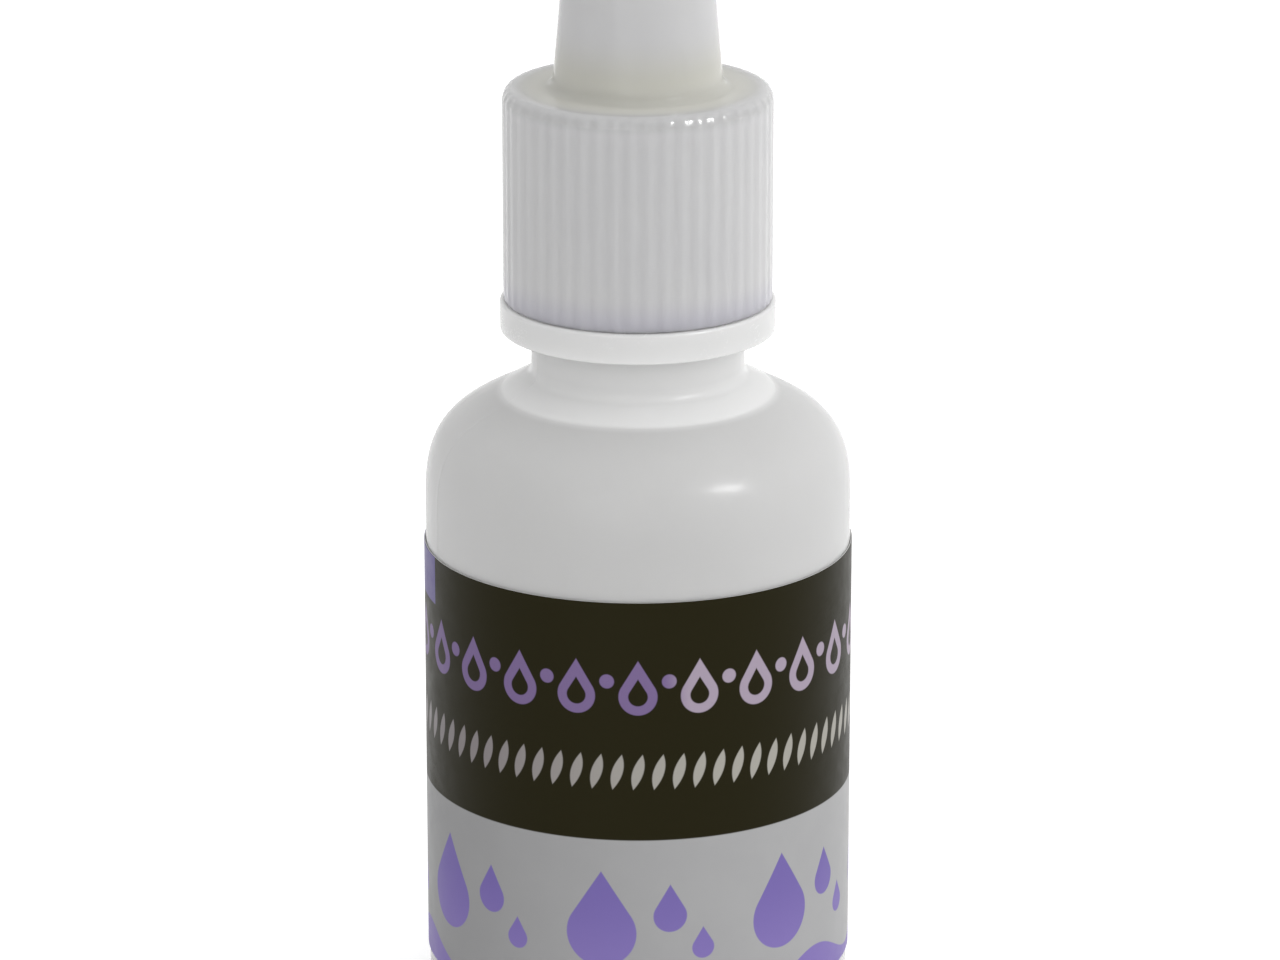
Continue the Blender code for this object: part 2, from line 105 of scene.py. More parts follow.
def arc(centre, radius, start, end, steps):
    """Points on a circle in the profile plane, both ends included."""
    angles = [start + (end - start) * step / steps for step in range(steps + 1)]
    return [
        (centre[0] + radius * math.cos(angle), centre[1] + radius * math.sin(angle))
        for angle in angles
    ]


def shoulder_curve(wall_radius, neck_radius, neck_z):
    """The shoulder, from the straight wall up to the neck: a cubic curve that leaves the wall upright."""
    reach_r = SHOULDER_NECK_REACH * math.cos(SHOULDER_SLOPE)
    reach_z = SHOULDER_NECK_REACH * math.sin(SHOULDER_SLOPE)
    corners = [
        (wall_radius, SHOULDER_Z),
        (wall_radius, SHOULDER_Z + SHOULDER_WALL_REACH),
        (neck_radius + reach_r, neck_z - reach_z),
        (neck_radius, neck_z),
    ]
    points = []
    for step in range(SHOULDER_STEPS + 1):
        t = step / SHOULDER_STEPS
        weights = [(1 - t) ** 3, 3 * t * (1 - t) ** 2, 3 * t**2 * (1 - t), t**3]
        points.append(
            tuple(sum(weight * corner[axis] for weight, corner in zip(weights, corners)) for axis in (0, 1))
        )
    return points


def push_up(base_z):
    """The rise of the base from the foot to its flat middle, from the outside in."""
    points = []
    for step in range(PUSH_UP_STEPS + 1):
        share = step / PUSH_UP_STEPS
        lift = PUSH_UP_DEPTH * (1 - math.cos(math.pi * share)) / 2
        points.append((FOOT_RADIUS - PUSH_UP_WIDTH * share, base_z + lift))
    return points


def bottle_inside():
    """Up the inside of the bottle, from the middle of its base to its mouth."""
    inner_neck_z = NECK_Z + (NECK_RADIUS - NECK_BORE) * math.tan(SHOULDER_SLOPE)
    inner_neck_z -= BODY_WALL / math.cos(SHOULDER_SLOPE)
    heel_centre = (BODY_RADIUS - HEEL_WIDTH, HEEL_WIDTH)
    points = [(0, PUSH_UP_DEPTH + BODY_WALL)]
    points += push_up(BODY_WALL)[::-1]
    points += arc(heel_centre, HEEL_WIDTH - BODY_WALL, -math.pi / 2, 0, steps=12)
    points += shoulder_curve(BODY_RADIUS - BODY_WALL, NECK_BORE, inner_neck_z)
    return points + [(NECK_BORE, MOUTH_Z - MOUTH_CHAMFER)]


def insert_step(points):
    """Raises the part of the shoulder that the neck insert shapes, for points that run down and outwards."""
    raised = []
    for (radius, height), (next_radius, next_height) in zip(points, points[1:]):
        slope = math.atan2(height - next_height, next_radius - radius)
        share = min(1, max(0, (INSERT_RADIUS - radius) / INSERT_STEP_WIDTH + 0.5))
        lift = INSERT_STEP * share
        raised.append((radius + lift * math.sin(slope), height + lift * math.cos(slope)))
        if radius < INSERT_RADIUS < next_radius:
            for side, lift in ((-0.5, INSERT_STEP), (0.5, 0)):
                along = (INSERT_RADIUS + side * INSERT_STEP_WIDTH - radius) / (next_radius - radius)
                if 0 < along < 1:
                    edge_height = height + (next_height - height) * along
                    raised.append((radius + (next_radius - radius) * along, edge_height + lift))
    return raised + [points[-1]]


def bottle_outside():
    """Down the outside of the bottle, from its mouth to the middle of its base."""
    fillet_turn = math.pi / 2 - SHOULDER_SLOPE
    fillet_z = NECK_Z + NECK_FILLET * math.tan(fillet_turn / 2)
    fillet_centre = (NECK_RADIUS + NECK_FILLET, fillet_z)
    neck = [
        (NECK_BORE + MOUTH_CHAMFER, MOUTH_Z),
        (FINISH_RADIUS - MOUTH_CHAMFER, MOUTH_Z),
        (FINISH_RADIUS, MOUTH_Z - MOUTH_CHAMFER),
        (FINISH_RADIUS, BEAD_TOP_Z),
        (BEAD_RADIUS, BEAD_Z + BEAD_LAND),
        (BEAD_RADIUS, BEAD_Z),
        (NECK_RADIUS, BEAD_Z),
    ]
    fillet = arc(fillet_centre, NECK_FILLET, math.pi, math.pi + fillet_turn, steps=8)
    curve = shoulder_curve(BODY_RADIUS, NECK_RADIUS, NECK_Z)[::-1]
    shoulder = insert_step(fillet + [point for point in curve if point[0] > fillet[-1][0]])
    round_heel = arc((BODY_RADIUS - HEEL_WIDTH, HEEL_WIDTH), HEEL_WIDTH, 0, -math.pi / 2, steps=14)
    heel = [(radius, height * HEEL_HEIGHT / HEEL_WIDTH) for radius, height in round_heel]
    rise = push_up(0)
    middle_radius = rise[-1][0]
    shares = [1 - ring / BASE_MIDDLE_RINGS for ring in range(1, BASE_MIDDLE_RINGS + 1)]
    return neck + shoulder + heel + rise + [(middle_radius * share, PUSH_UP_DEPTH) for share in shares]


def parting_lift(angle):
    """How far the parting line stands proud at an angle about the axis."""
    off = abs((angle - PARTING_ANGLE + math.pi / 2) % math.pi - math.pi / 2)
    return PARTING_HEIGHT * max(0, 1 - off / PARTING_HALF_WIDTH)


def even_angles(steps):
    """Even steps once about the axis."""
    return [2 * math.pi * step / steps for step in range(steps)]


def in_order(angles):
    """Angles in rising order, each of them once."""
    return sorted(set(round(angle, 6) for angle in angles))


def bottle_angles():
    """Even steps about the axis, with closer ones across both parting lines."""
    angles = even_angles(BOTTLE_STEPS)
    for side in (0, math.pi):
        for share in (-1, -0.5, 0, 0.5, 1):
            angles.append((PARTING_ANGLE + side + PARTING_HALF_WIDTH * share) % (2 * math.pi))
    return in_order(angles)


def skin(bm, first, second):
    """Faces between two rings of as many points, or between a ring and a single point."""
    if len(first) < len(second):
        first, second = second, first
    for index in range(len(first)):
        following = (index + 1) % len(first)
        corners = [first[index], first[following]]
        corners += [second[0]] if len(second) == 1 else [second[following], second[index]]
        bm.faces.new(corners)


def turned(bm, profile, angles, lift=None, rise=None, loop=False):
    """Skins a profile about Z. A point is (radius, height) or (radius, height, share), and the share, 1 if it
    isn't given, scales what lift(angle) adds to its radius and rise(angle) to its height."""
    rings = []
    for radius, height, *given_share in profile:
        if radius == 0:
            rings.append([bm.verts.new((0, 0, height))])
            continue
        share = given_share[0] if given_share else 1
        ring = []
        for angle in angles:
            reach = radius + (share * lift(angle) if lift else 0)
            level = height + (share * rise(angle) if rise else 0)
            ring.append(bm.verts.new((reach * math.cos(angle), reach * math.sin(angle), level)))
        rings.append(ring)
    for first, second in zip(rings, rings[1:] + rings[:1] if loop else rings[1:]):
        skin(bm, first, second)
    return rings


def swept(bm, sections):
    """Skins a row of four-cornered sections, each a list of points, and closes both ends."""
    sections = [[bm.verts.new(point) for point in section] for section in sections]
    for first, second in zip(sections, sections[1:]):
        skin(bm, first, second)
    bm.faces.new(sections[0])
    bm.faces.new(sections[-1])


def add_thread(bm, root_radius, crest_radius, start_z, turns):
    """A right-hand thread that stands off a wall, sunk a little into it, and runs out at both ends."""
    outward = 1 if crest_radius > root_radius else -1
    sunk_radius = root_radius - outward * THREAD_SINK
    buried_radius = root_radius - outward * THREAD_SINK / 2
    crest_half = THREAD_CREST_WIDTH / 2
    sunk_half = crest_half + abs(crest_radius - sunk_radius) * math.tan(THREAD_FLANK)
    sweep = 2 * math.pi * turns
    steps = round(turns * BOTTLE_STEPS / 2)
    sections = []
    for step in range(steps + 1):
        angle = sweep * step / steps
        fade = min(1, angle / THREAD_RUN_OUT, (sweep - angle) / THREAD_RUN_OUT)
        crest = buried_radius + (crest_radius - buried_radius) * math.sin(fade * math.pi / 2)
        height = start_z + PITCH * angle / (2 * math.pi)
        corners = [
            (sunk_radius, height - sunk_half),
            (crest, height - crest_half),
            (crest, height + crest_half),
            (sunk_radius, height + sunk_half),
        ]
        sections.append([(radius * math.cos(angle), radius * math.sin(angle), z) for radius, z in corners])
    swept(bm, sections)


def press_pinch_seam(rings):
    """Presses the low ridge that closing the mould leaves across the base into its flat middle."""
    along_seam = Vector((math.cos(PARTING_ANGLE), math.sin(PARTING_ANGLE), 0))
    across_seam = Vector((-along_seam.y, along_seam.x, 0))
    for vertex in (vertex for ring in rings for vertex in ring):
        across = vertex.co.dot(across_seam) / (PINCH_WIDTH / 2)
        along = vertex.co.dot(along_seam) / (PINCH_LENGTH / 2)
        vertex.co.z -= PINCH_HEIGHT * max(0, 1 - across**2) * math.sqrt(max(0, 1 - along**2))


def finish_piece(name, bm, finish, stands_for, body):
    """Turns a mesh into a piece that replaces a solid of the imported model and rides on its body."""
    bmesh.ops.recalc_face_normals(bm, faces=bm.faces)
    mesh = bpy.data.meshes.new(name)
    bm.to_mesh(mesh)
    bm.free()
    mesh.shade_smooth()
    mesh.set_sharp_from_angle(angle=SHARP_ANGLE)
    mesh.materials.append(finish)
    piece = bpy.data.objects.new(name, mesh)
    bpy.context.scene.collection.objects.link(piece)
    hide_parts(stands_for)
    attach(piece, body)


def add_node(tree, kind, inputs=None, **settings):
    """A shader node. Each input is a number, a colour, or the socket that feeds it."""
    made = tree.nodes.new("ShaderNode" + kind)
    for name, value in settings.items():
        setattr(made, name, value)
    for socket, value in (inputs or {}).items():
        if isinstance(value, bpy.types.NodeSocket):
            tree.links.new(value, made.inputs[socket])
        else:
            made.inputs[socket].default_value = value
    return made


def maths(tree, operation, first, second=0.0, third=0.0, clamp=False):
    """The result of a Math node."""
    values = {0: first, 1: second, 2: third}
    return add_node(tree, "Math", values, operation=operation, use_clamp=clamp).outputs[0]


def ramp(tree, value, low, high):
    """A smooth step from 0 to 1 as the input goes from low to high."""
    inputs = {"Value": value, "From Min": low, "From Max": high}
    return add_node(tree, "MapRange", inputs, interpolation_type="SMOOTHSTEP").outputs["Result"]


def blended(tree, share, first, second):
    """A mix of two colours."""
    return add_node(tree, "Mix", {0: share, 6: first, 7: second}, data_type="RGBA").outputs[2]


def noise(tree, place, scale, detail):
    """The value of a noise texture, which lies about 0.5."""
    return add_node(tree, "TexNoise", {"Vector": place, "Scale": scale, "Detail": detail}).outputs["Fac"]


def node_group(name, inputs, outputs):
    """An empty shader group, with its input and output nodes."""
    group = bpy.data.node_groups.new(name, "ShaderNodeTree")
    for in_out, sockets in (("INPUT", inputs), ("OUTPUT", outputs)):
        for socket, kind in sockets.items():
            group.interface.new_socket(socket, in_out=in_out, socket_type="NodeSocket" + kind)
    return group, group.nodes.new("NodeGroupInput").outputs, group.nodes.new("NodeGroupOutput").inputs


CLOUD_EDGES = (0.35, 0.68)
CLOUD_DETAIL = 3.0
RIPPLE_DETAIL = 2.0
GLOSS_EDGES = (0.3, 0.7)
GLOSS_FINENESS = 2.7
GLOSS_DETAIL = 4.0


def milky_plastic_group():
    """Clouded, unevenly glossy moulded plastic, with the faint ripple that a mould wall leaves."""
    group, given, result = node_group(
        "milky_plastic",
        {
            "Colour": "Color",
            "Cloud Colour": "Color",
            "Cloud Size": "Float",
            "Ripple Size": "Float",
            "Smoothest": "Float",
            "Roughest": "Float",
        },
        {"Colour": "Color", "Roughness": "Float", "Height": "Float"},
    )
    place = add_node(group, "TexCoord").outputs["Object"]
    cloud_scale = maths(group, "DIVIDE", 1, given["Cloud Size"])
    ripple_scale = maths(group, "DIVIDE", 1, given["Ripple Size"])
    gloss_scale = maths(group, "MULTIPLY", cloud_scale, GLOSS_FINENESS)
    cloudy = ramp(group, noise(group, place, cloud_scale, CLOUD_DETAIL), *CLOUD_EDGES)
    patches = {
        "Value": noise(group, place, gloss_scale, GLOSS_DETAIL),
        "From Min": GLOSS_EDGES[0],
        "From Max": GLOSS_EDGES[1],
        "To Min": given["Smoothest"],
        "To Max": given["Roughest"],
    }
    roughness = add_node(group, "MapRange", patches).outputs["Result"]
    group.links.new(blended(group, cloudy, given["Colour"], given["Cloud Colour"]), result["Colour"])
    group.links.new(roughness, result["Roughness"])
    group.links.new(noise(group, place, ripple_scale, RIPPLE_DETAIL), result["Height"])
    return group


SCUFF_LEANS_AND_SEEDS = ((0.5, 0.0), (2.1, 7.3))
SCUFF_STRETCH = 40
SCUFF_EDGES = (0.6, 0.8)
SCUFF_PATCH_EDGES = (0.4, 0.7)


def handling_marks_group():
    """Hairline scuffs from handling, in loose patches, as a mask."""
    group, given, result = node_group(
        "handling_marks", {"Length": "Float", "Amount": "Float"}, {"Mask": "Float"}
    )
    place = add_node(group, "TexCoord").outputs["Object"]
    scale = maths(group, "DIVIDE", 1, given["Length"])
    masks = []
    for lean, seed in SCUFF_LEANS_AND_SEEDS:
        turn = {"Vector": place, "Rotation": (lean, lean / 2, lean / 3), "Location": (seed, 0, 0)}
        leaning = add_node(group, "Mapping", turn).outputs[0]
        stretch = {"Vector": leaning, "Scale": (1, SCUFF_STRETCH, SCUFF_STRETCH)}
        stretched = add_node(group, "Mapping", stretch).outputs[0]
        masks.append(ramp(group, noise(group, stretched, scale, 0.0), *SCUFF_EDGES))
    patches = ramp(group, noise(group, place, scale, 0.0), *SCUFF_PATCH_EDGES)
    patchy = maths(group, "MULTIPLY", maths(group, "MAXIMUM", *masks), patches)
    group.links.new(maths(group, "MULTIPLY", patchy, given["Amount"]), result["Mask"])
    return group


MILKY_PLASTIC = milky_plastic_group()
HANDLING_MARKS = handling_marks_group()


def new_material(name, values):
    """A material with a Principled shader, and the values that are the same all over its surface."""
    made = bpy.data.materials.new(name)
    made.use_nodes = True
    shader = made.node_tree.nodes["Principled BSDF"]
    shader.inputs["Subsurface Radius"].default_value = (1, 1, 1)
    shader.inputs["IOR"].default_value = 1.5
    for socket, value in values.items():
        shader.inputs[socket].default_value = value
    return made, made.node_tree, shader


def add_plastic(tree, shader, colours, cloud_size, ripple_size, roughness, strength, depth):
    """Milky plastic in a material. Its ripple goes into the shader's normal, at a strength and a depth."""
    inputs = {
        "Colour": colours[0],
        "Cloud Colour": colours[1],
        "Cloud Size": cloud_size,
        "Ripple Size": ripple_size,
        "Smoothest": roughness[0],
        "Roughest": roughness[1],
    }
    plastic = add_node(tree, "Group", inputs, node_tree=MILKY_PLASTIC).outputs
    bump = add_node(tree, "Bump", {"Height": plastic["Height"], "Strength": strength, "Distance": depth})
    tree.links.new(bump.outputs["Normal"], shader.inputs["Normal"])
    return plastic["Colour"], plastic["Roughness"]


def add_scuffs(tree, length, amount):
    """The mask of the handling marks in a material."""
    return add_node(tree, "Group", {"Length": length, "Amount": amount}, node_tree=HANDLING_MARKS).outputs[0]


BOTTLE_COLOUR = (0.505, 0.504, 0.502, 1)
BOTTLE_CLOUD = (0.515, 0.514, 0.512, 1)
# Partly the thicker wall's own whiteness, partly painted light where the shoulder's upward face catches light
THICK_WALL_AND_PAINTED_LIGHT = (0.72, 0.72, 0.717, 1)
THICK_WALL_FADE = (41.88 * MM, 42.33 * MM)
NECK_COLOUR = (0.635, 0.635, 0.632, 1)
NECK_FADE = (43.3 * MM, 44.1 * MM)
BOTTLE_GLOSS = 0.17
GLOSS_LOST_TO_SCUFFS = 3


def bottle_finish():
    """Milky polyethylene, a little whiter in the neck, and whiter in the shoulder's thicker ring, which also
    has painted light on its upward face.
    """
    made, tree, shader = new_material(
        "milky_bottle_plastic",
        {
            "Subsurface Weight": 1.0,
            "Subsurface Scale": 1.5 * MM,
            "Specular IOR Level": 0.03,
            "Coat Roughness": 0.27,
        },
    )
    colour, roughness = add_plastic(
        tree,
        shader,
        (BOTTLE_COLOUR, BOTTLE_CLOUD),
        cloud_size=9 * MM,
        ripple_size=2.2 * MM,
        roughness=(0.22, 0.26),
        strength=0.25,
        depth=0.02 * MM,
    )
    place = add_node(tree, "TexCoord").outputs["Object"]
    height = add_node(tree, "SeparateXYZ", {"Vector": place}).outputs["Z"]
    # Painted light: the thicker ring is lightened beyond its own whiteness where its upward face catches light
    thick_lit_ring = ramp(tree, height, *THICK_WALL_FADE)
    up_neck = ramp(tree, height, *NECK_FADE)
    colour = blended(tree, thick_lit_ring, colour, THICK_WALL_AND_PAINTED_LIGHT)
    colour = blended(tree, up_neck, colour, NECK_COLOUR)
    scuffs = add_scuffs(tree, length=5 * MM, amount=0.03)
    gloss = maths(tree, "MULTIPLY_ADD", scuffs, -GLOSS_LOST_TO_SCUFFS, BOTTLE_GLOSS)
    tree.links.new(colour, shader.inputs["Base Color"])
    tree.links.new(roughness, shader.inputs["Roughness"])
    tree.links.new(gloss, shader.inputs["Coat Weight"])
    return made


bottle_mesh = bmesh.new()
around_bottle = bottle_angles()
inside_rings = turned(bottle_mesh, bottle_inside(), around_bottle)
outside_rings = turned(bottle_mesh, bottle_outside(), around_bottle, lift=parting_lift)
skin(bottle_mesh, inside_rings[-1], outside_rings[0])
add_thread(bottle_mesh, FINISH_RADIUS, FINISH_RADIUS + THREAD_DEPTH, NECK_THREAD_Z, NECK_THREAD_TURNS)
press_pinch_seam(outside_rings[-BASE_MIDDLE_RINGS:])
finish_piece("bottle_body", bottle_mesh, bottle_finish(), "bottle", "bottle")


# The dropper plug is injection-moulded in natural, cream-tinted polyethylene and pressed into the mouth.
# Two beads seal its skirt in the bore, its flange lies on the rim, and its nozzle narrows to a fine hole
# in a small cup that sets the size of the drop.
PLUG_CLEARANCE = 0.08 * MM
PLUG_SKIRT_RADIUS = NECK_BORE - PLUG_CLEARANCE
PLUG_BEAD_RISE = 0.05 * MM
PLUG_BEAD_HEIGHT = 0.9 * MM
PLUG_SKIRT_LENGTH = 7.0 * MM
PLUG_WALL = 1.0 * MM
PLUG_LEAD_IN = 0.4 * MM
FLANGE_INSET = 0.2 * MM
FLANGE_GAP = 0.06 * MM
FLANGE_THICKNESS = 0.8 * MM
FLANGE_RADIUS = FINISH_RADIUS - FLANGE_INSET
FLANGE_BOTTOM_Z = MOUTH_Z + FLANGE_GAP
FLANGE_TOP_Z = FLANGE_BOTTOM_Z + FLANGE_THICKNESS
FLANGE_EDGE = 0.15 * MM
NOZZLE_BASE_RADIUS = 3.6 * MM
NOZZLE_BASE_FILLET = 0.5 * MM
NOZZLE_TIP_RADIUS = 1.7 * MM
NOZZLE_TIP_ROUNDING = 0.6 * MM
NOZZLE_TIP_LENGTH = 2.6 * MM
NOZZLE_WALL = 1.0 * MM
NOZZLE_HEIGHT = 12.0 * MM
NOZZLE_TOP_Z = FLANGE_TOP_Z + NOZZLE_HEIGHT
TIP_CUP_RADIUS = 0.85 * MM
TIP_CUP_DEPTH = 1.0 * MM
ORIFICE_RADIUS = 0.3 * MM
ORIFICE_LENGTH = 0.8 * MM
PLUG_COLOUR = (0.66, 0.655, 0.62, 1)
PLUG_CLOUD = (0.70, 0.70, 0.67, 1)
PLUG_STEPS = 96


def plug_profile():
    """Up the drop channel to the orifice, down the nozzle and the flange, and down the skirt."""
    skirt_bottom = MOUTH_Z - PLUG_SKIRT_LENGTH
    orifice_z = NOZZLE_TOP_Z - TIP_CUP_DEPTH
    rounding = (NOZZLE_TIP_RADIUS - NOZZLE_TIP_ROUNDING, NOZZLE_TOP_Z - NOZZLE_TIP_ROUNDING)
    base_fillet = (NOZZLE_BASE_RADIUS + NOZZLE_BASE_FILLET, FLANGE_TOP_Z + NOZZLE_BASE_FILLET)
    edge = (FLANGE_RADIUS - FLANGE_EDGE, FLANGE_TOP_Z - FLANGE_EDGE)
    points = [
        (PLUG_SKIRT_RADIUS - PLUG_WALL, skirt_bottom),
        (PLUG_SKIRT_RADIUS - PLUG_WALL, MOUTH_Z - PLUG_WALL),
        (NOZZLE_BASE_RADIUS - NOZZLE_WALL, MOUTH_Z),
        (ORIFICE_RADIUS, orifice_z - ORIFICE_LENGTH),
        (ORIFICE_RADIUS, orifice_z),
        (TIP_CUP_RADIUS, NOZZLE_TOP_Z),
    ]
    points += arc(rounding, NOZZLE_TIP_ROUNDING, math.pi / 2, 0, steps=8)
    points += [(NOZZLE_TIP_RADIUS, NOZZLE_TOP_Z - NOZZLE_TIP_LENGTH)]
    points += arc(base_fillet, NOZZLE_BASE_FILLET, math.pi, 3 * math.pi / 2, steps=8)
    points += arc(edge, FLANGE_EDGE, math.pi / 2, 0, steps=4)
    points += [(FLANGE_RADIUS, FLANGE_BOTTOM_Z), (PLUG_SKIRT_RADIUS, FLANGE_BOTTOM_Z)]
    for bead in (1, 2):
        bead_z = MOUTH_Z - PLUG_SKIRT_LENGTH * bead / 3
        for step in range(9):
            along = step / 4 - 1
            swell = PLUG_BEAD_RISE * (1 - along**2)
            points.append((PLUG_SKIRT_RADIUS + swell, bead_z - along * PLUG_BEAD_HEIGHT / 2))
    points += [
        (PLUG_SKIRT_RADIUS, skirt_bottom + PLUG_LEAD_IN),
        (PLUG_SKIRT_RADIUS - PLUG_LEAD_IN, skirt_bottom),
    ]
    return points


def plug_finish():
    """Natural polyethylene, softer and creamier than the bottle."""
    made, tree, shader = new_material(
        "natural_plug_plastic", {"Subsurface Weight": 0.6, "Subsurface Scale": 1.5 * MM}
    )
    colour, roughness = add_plastic(
        tree,
        shader,
        (PLUG_COLOUR, PLUG_CLOUD),
        cloud_size=3 * MM,
        ripple_size=0.8 * MM,
        roughness=(0.26, 0.36),
        strength=0.2,
        depth=0.01 * MM,
    )
    tree.links.new(colour, shader.inputs["Base Color"])
    tree.links.new(roughness, shader.inputs["Roughness"])
    return made


plug_mesh = bmesh.new()
turned(plug_mesh, plug_profile(), even_angles(PLUG_STEPS), loop=True)
finish_piece("dropper_nozzle", plug_mesh, plug_finish(), "dropper_plug", "bottle")


# The tamper ring is moulded with the cap in polypropylene and joined to it by eight thin bridges. The
# first opening breaks them, and the ring stays loose on the neck, held by a lip under the bead. Short
# stubs of the bridges are left on its upper face.
RING_CLEARANCE = 0.25 * MM
RING_WALL = 1.07 * MM
RING_LIP_THICKNESS = 0.35 * MM
RING_INNER_RADIUS = BEAD_RADIUS + RING_CLEARANCE
RING_RADIUS = RING_INNER_RADIUS + RING_WALL
RING_LIP_RADIUS = NECK_RADIUS + RING_CLEARANCE
RING_TOP_Z = BEAD_TOP_Z
RING_LIP_TOP_Z = BEAD_Z - RING_CLEARANCE
RING_BOTTOM_Z = RING_LIP_TOP_Z - RING_LIP_THICKNESS
RING_TOP_EDGE = 0.2 * MM
RING_LOW_EDGE = 0.14 * MM
STUB_COUNT = 8
STUB_RADIUS = 8.3 * MM
STUB_WIDTH = 0.7 * MM
STUB_DEPTH = 0.5 * MM
STUB_HEIGHT = 0.04 * MM
STUB_SLOPE = 0.06 * MM
RING_COLOUR = (0.625, 0.625, 0.622, 1)
RING_CLOUD = (0.631, 0.631, 0.628, 1)


def ring_profile():
    """The ring's section, closed on itself, with rounded outer edges. Only the points at the top of the
    stubs have a share of 1."""
    low_edge = (RING_RADIUS - RING_LOW_EDGE, RING_BOTTOM_Z + RING_LOW_EDGE)
    top_edge = (RING_RADIUS - RING_TOP_EDGE, RING_TOP_Z - RING_TOP_EDGE)
    points = arc(low_edge, RING_LOW_EDGE, -math.pi / 2, 0, steps=8)
    points += arc(top_edge, RING_TOP_EDGE, 0, math.pi / 2, steps=8)
    points = [(radius, height, 0) for radius, height in points]
    for side in (1, -1):
        for beyond in (side, -side):
            radius = STUB_RADIUS + (side * STUB_DEPTH + beyond * STUB_SLOPE) / 2
            points.append((radius, RING_TOP_Z, int(beyond != side)))
    return points + [
        (RING_INNER_RADIUS, RING_TOP_Z, 0),
        (RING_INNER_RADIUS, RING_LIP_TOP_Z, 0),
        (RING_LIP_RADIUS, RING_LIP_TOP_Z, 0),
        (RING_LIP_RADIUS, RING_BOTTOM_Z, 0),
    ]


def ring_angles():
    """Even steps about the axis, with closer ones at the sides of each stub."""
    angles = even_angles(BOTTLE_STEPS)
    for stub in range(STUB_COUNT):
        middle = 2 * math.pi * (stub + 0.5) / STUB_COUNT
        for side in (-1, 1):
            for beyond in (-1, 1):
                angles.append(middle + (side * STUB_WIDTH + beyond * STUB_SLOPE) / (2 * STUB_RADIUS))
    return in_order(angles)


def stub_rise(angle):
    """How far the torn bridges stand up at an angle about the axis."""
    pitch = 2 * math.pi / STUB_COUNT
    off = abs(angle % pitch - pitch / 2) * STUB_RADIUS
    return STUB_HEIGHT * min(1, max(0, (STUB_WIDTH / 2 - off) / STUB_SLOPE + 0.5))


def ring_finish():
    """Pale polypropylene, smooth from the mould, with light scuffs."""
    made, tree, shader = new_material(
        "natural_ring_plastic",
        {"Subsurface Weight": 1.0, "Subsurface Scale": 2.0 * MM, "Specular IOR Level": 0.3},
    )
    colour, roughness = add_plastic(
        tree,
        shader,
        (RING_COLOUR, RING_CLOUD),
        cloud_size=5 * MM,
        ripple_size=1.1 * MM,
        roughness=(0.24, 0.27),
        strength=0.2,
        depth=0.01 * MM,
    )
    scuffed = maths(tree, "ADD", roughness, add_scuffs(tree, length=4 * MM, amount=0.03))
    tree.links.new(colour, shader.inputs["Base Color"])
    tree.links.new(scuffed, shader.inputs["Roughness"])
    return made


ring_mesh = bmesh.new()
turned(ring_mesh, ring_profile(), ring_angles(), rise=stub_rise, loop=True)
finish_piece("tamper_band", ring_mesh, ring_finish(), "tamper_ring", "ring")


# The screw cap is injection-moulded in milky polypropylene: a skirt with fifty grip ribs, a flat top with
# a small chamfer round it, and a tapered tower over the nozzle, with a pin inside that stops its hole. The
# plug shows through the top as a warm tint, and the mould's gate leaves a small dimple on the tower.
SKIRT_GAP = 0.06 * MM
SKIRT_WALL = 1.35 * MM
THREAD_CLEARANCE = 0.15 * MM
SKIRT_Z = RING_TOP_Z + SKIRT_GAP
CAP_BORE = FINISH_RADIUS + THREAD_DEPTH + THREAD_CLEARANCE
SKIRT_RADIUS = CAP_BORE + SKIRT_WALL
SKIRT_LEAD_IN = 0.4 * MM
SKIRT_LOW_EDGE = 0.06 * MM
CAP_SEAT_GAP = 0.15 * MM
CAP_TOP_WALL = 1.2 * MM
CAP_CEILING_Z = FLANGE_TOP_Z + CAP_SEAT_GAP
CAP_TOP_Z = CAP_CEILING_Z + CAP_TOP_WALL
TOP_EDGE_RADIUS = 0.58 * MM
TOP_CHAMFER_LENGTH = 0.24 * MM
TOP_CHAMFER_LEAN = math.radians(22.2)
TOP_EDGE_HEIGHT = TOP_EDGE_RADIUS + TOP_CHAMFER_LENGTH * math.cos(TOP_CHAMFER_LEAN)
RIB_COUNT = 50
RIB_HEIGHT = 0.05 * MM
RIB_CREST_SHARE = 0.1
RIB_VALLEY_SHARE = 0.1
RIB_PHASE = math.radians(1.8)
RIB_LOW_SHARE = 0.6
RIB_SHARES_ABOVE = ((0.6 * MM, 0.78), (1.0 * MM, 0.9), (1.4 * MM, 1.0))
STEPS_PER_RIB = 12
TOWER_CLEARANCE = 0.75 * MM
TOWER_WALL = 1.2 * MM
TOWER_BORE = NOZZLE_BASE_RADIUS + TOWER_CLEARANCE
TOWER_RADIUS = TOWER_BORE + TOWER_WALL
TOWER_DRAFT = math.radians(4.9)
TOWER_FILLET = 0.7 * MM
TOWER_EDGE_RADIUS = 1.4 * MM
TOWER_HEADROOM = 0.6 * MM
TOWER_ROOF = 1.5 * MM
TOWER_CEILING_Z = NOZZLE_TOP_Z + TOWER_HEADROOM
TOWER_TOP_Z = TOWER_CEILING_Z + TOWER_ROOF
GATE_RADIUS = 1.1 * MM
GATE_DEPTH = 0.25 * MM
GATE_STEPS = 8
GATE_NUB_RADIUS = 0.35 * MM
GATE_NUB_TAPER = 0.9
PIN_CLEARANCE = 0.3 * MM
PIN_REACH = 0.7 * MM
PIN_RADIUS = TIP_CUP_RADIUS - PIN_CLEARANCE
PIN_END_RADIUS = 0.2 * MM
PIN_END_Z = NOZZLE_TOP_Z - PIN_REACH
CAP_THREAD_TURNS = 1.25
CAP_THREAD_CLEARANCE = 0.2 * MM


def smoothed(share):
    """A share, kept from 0 to 1 and eased in and out."""
    share = min(1, max(0, share))
    return share * share * (3 - 2 * share)


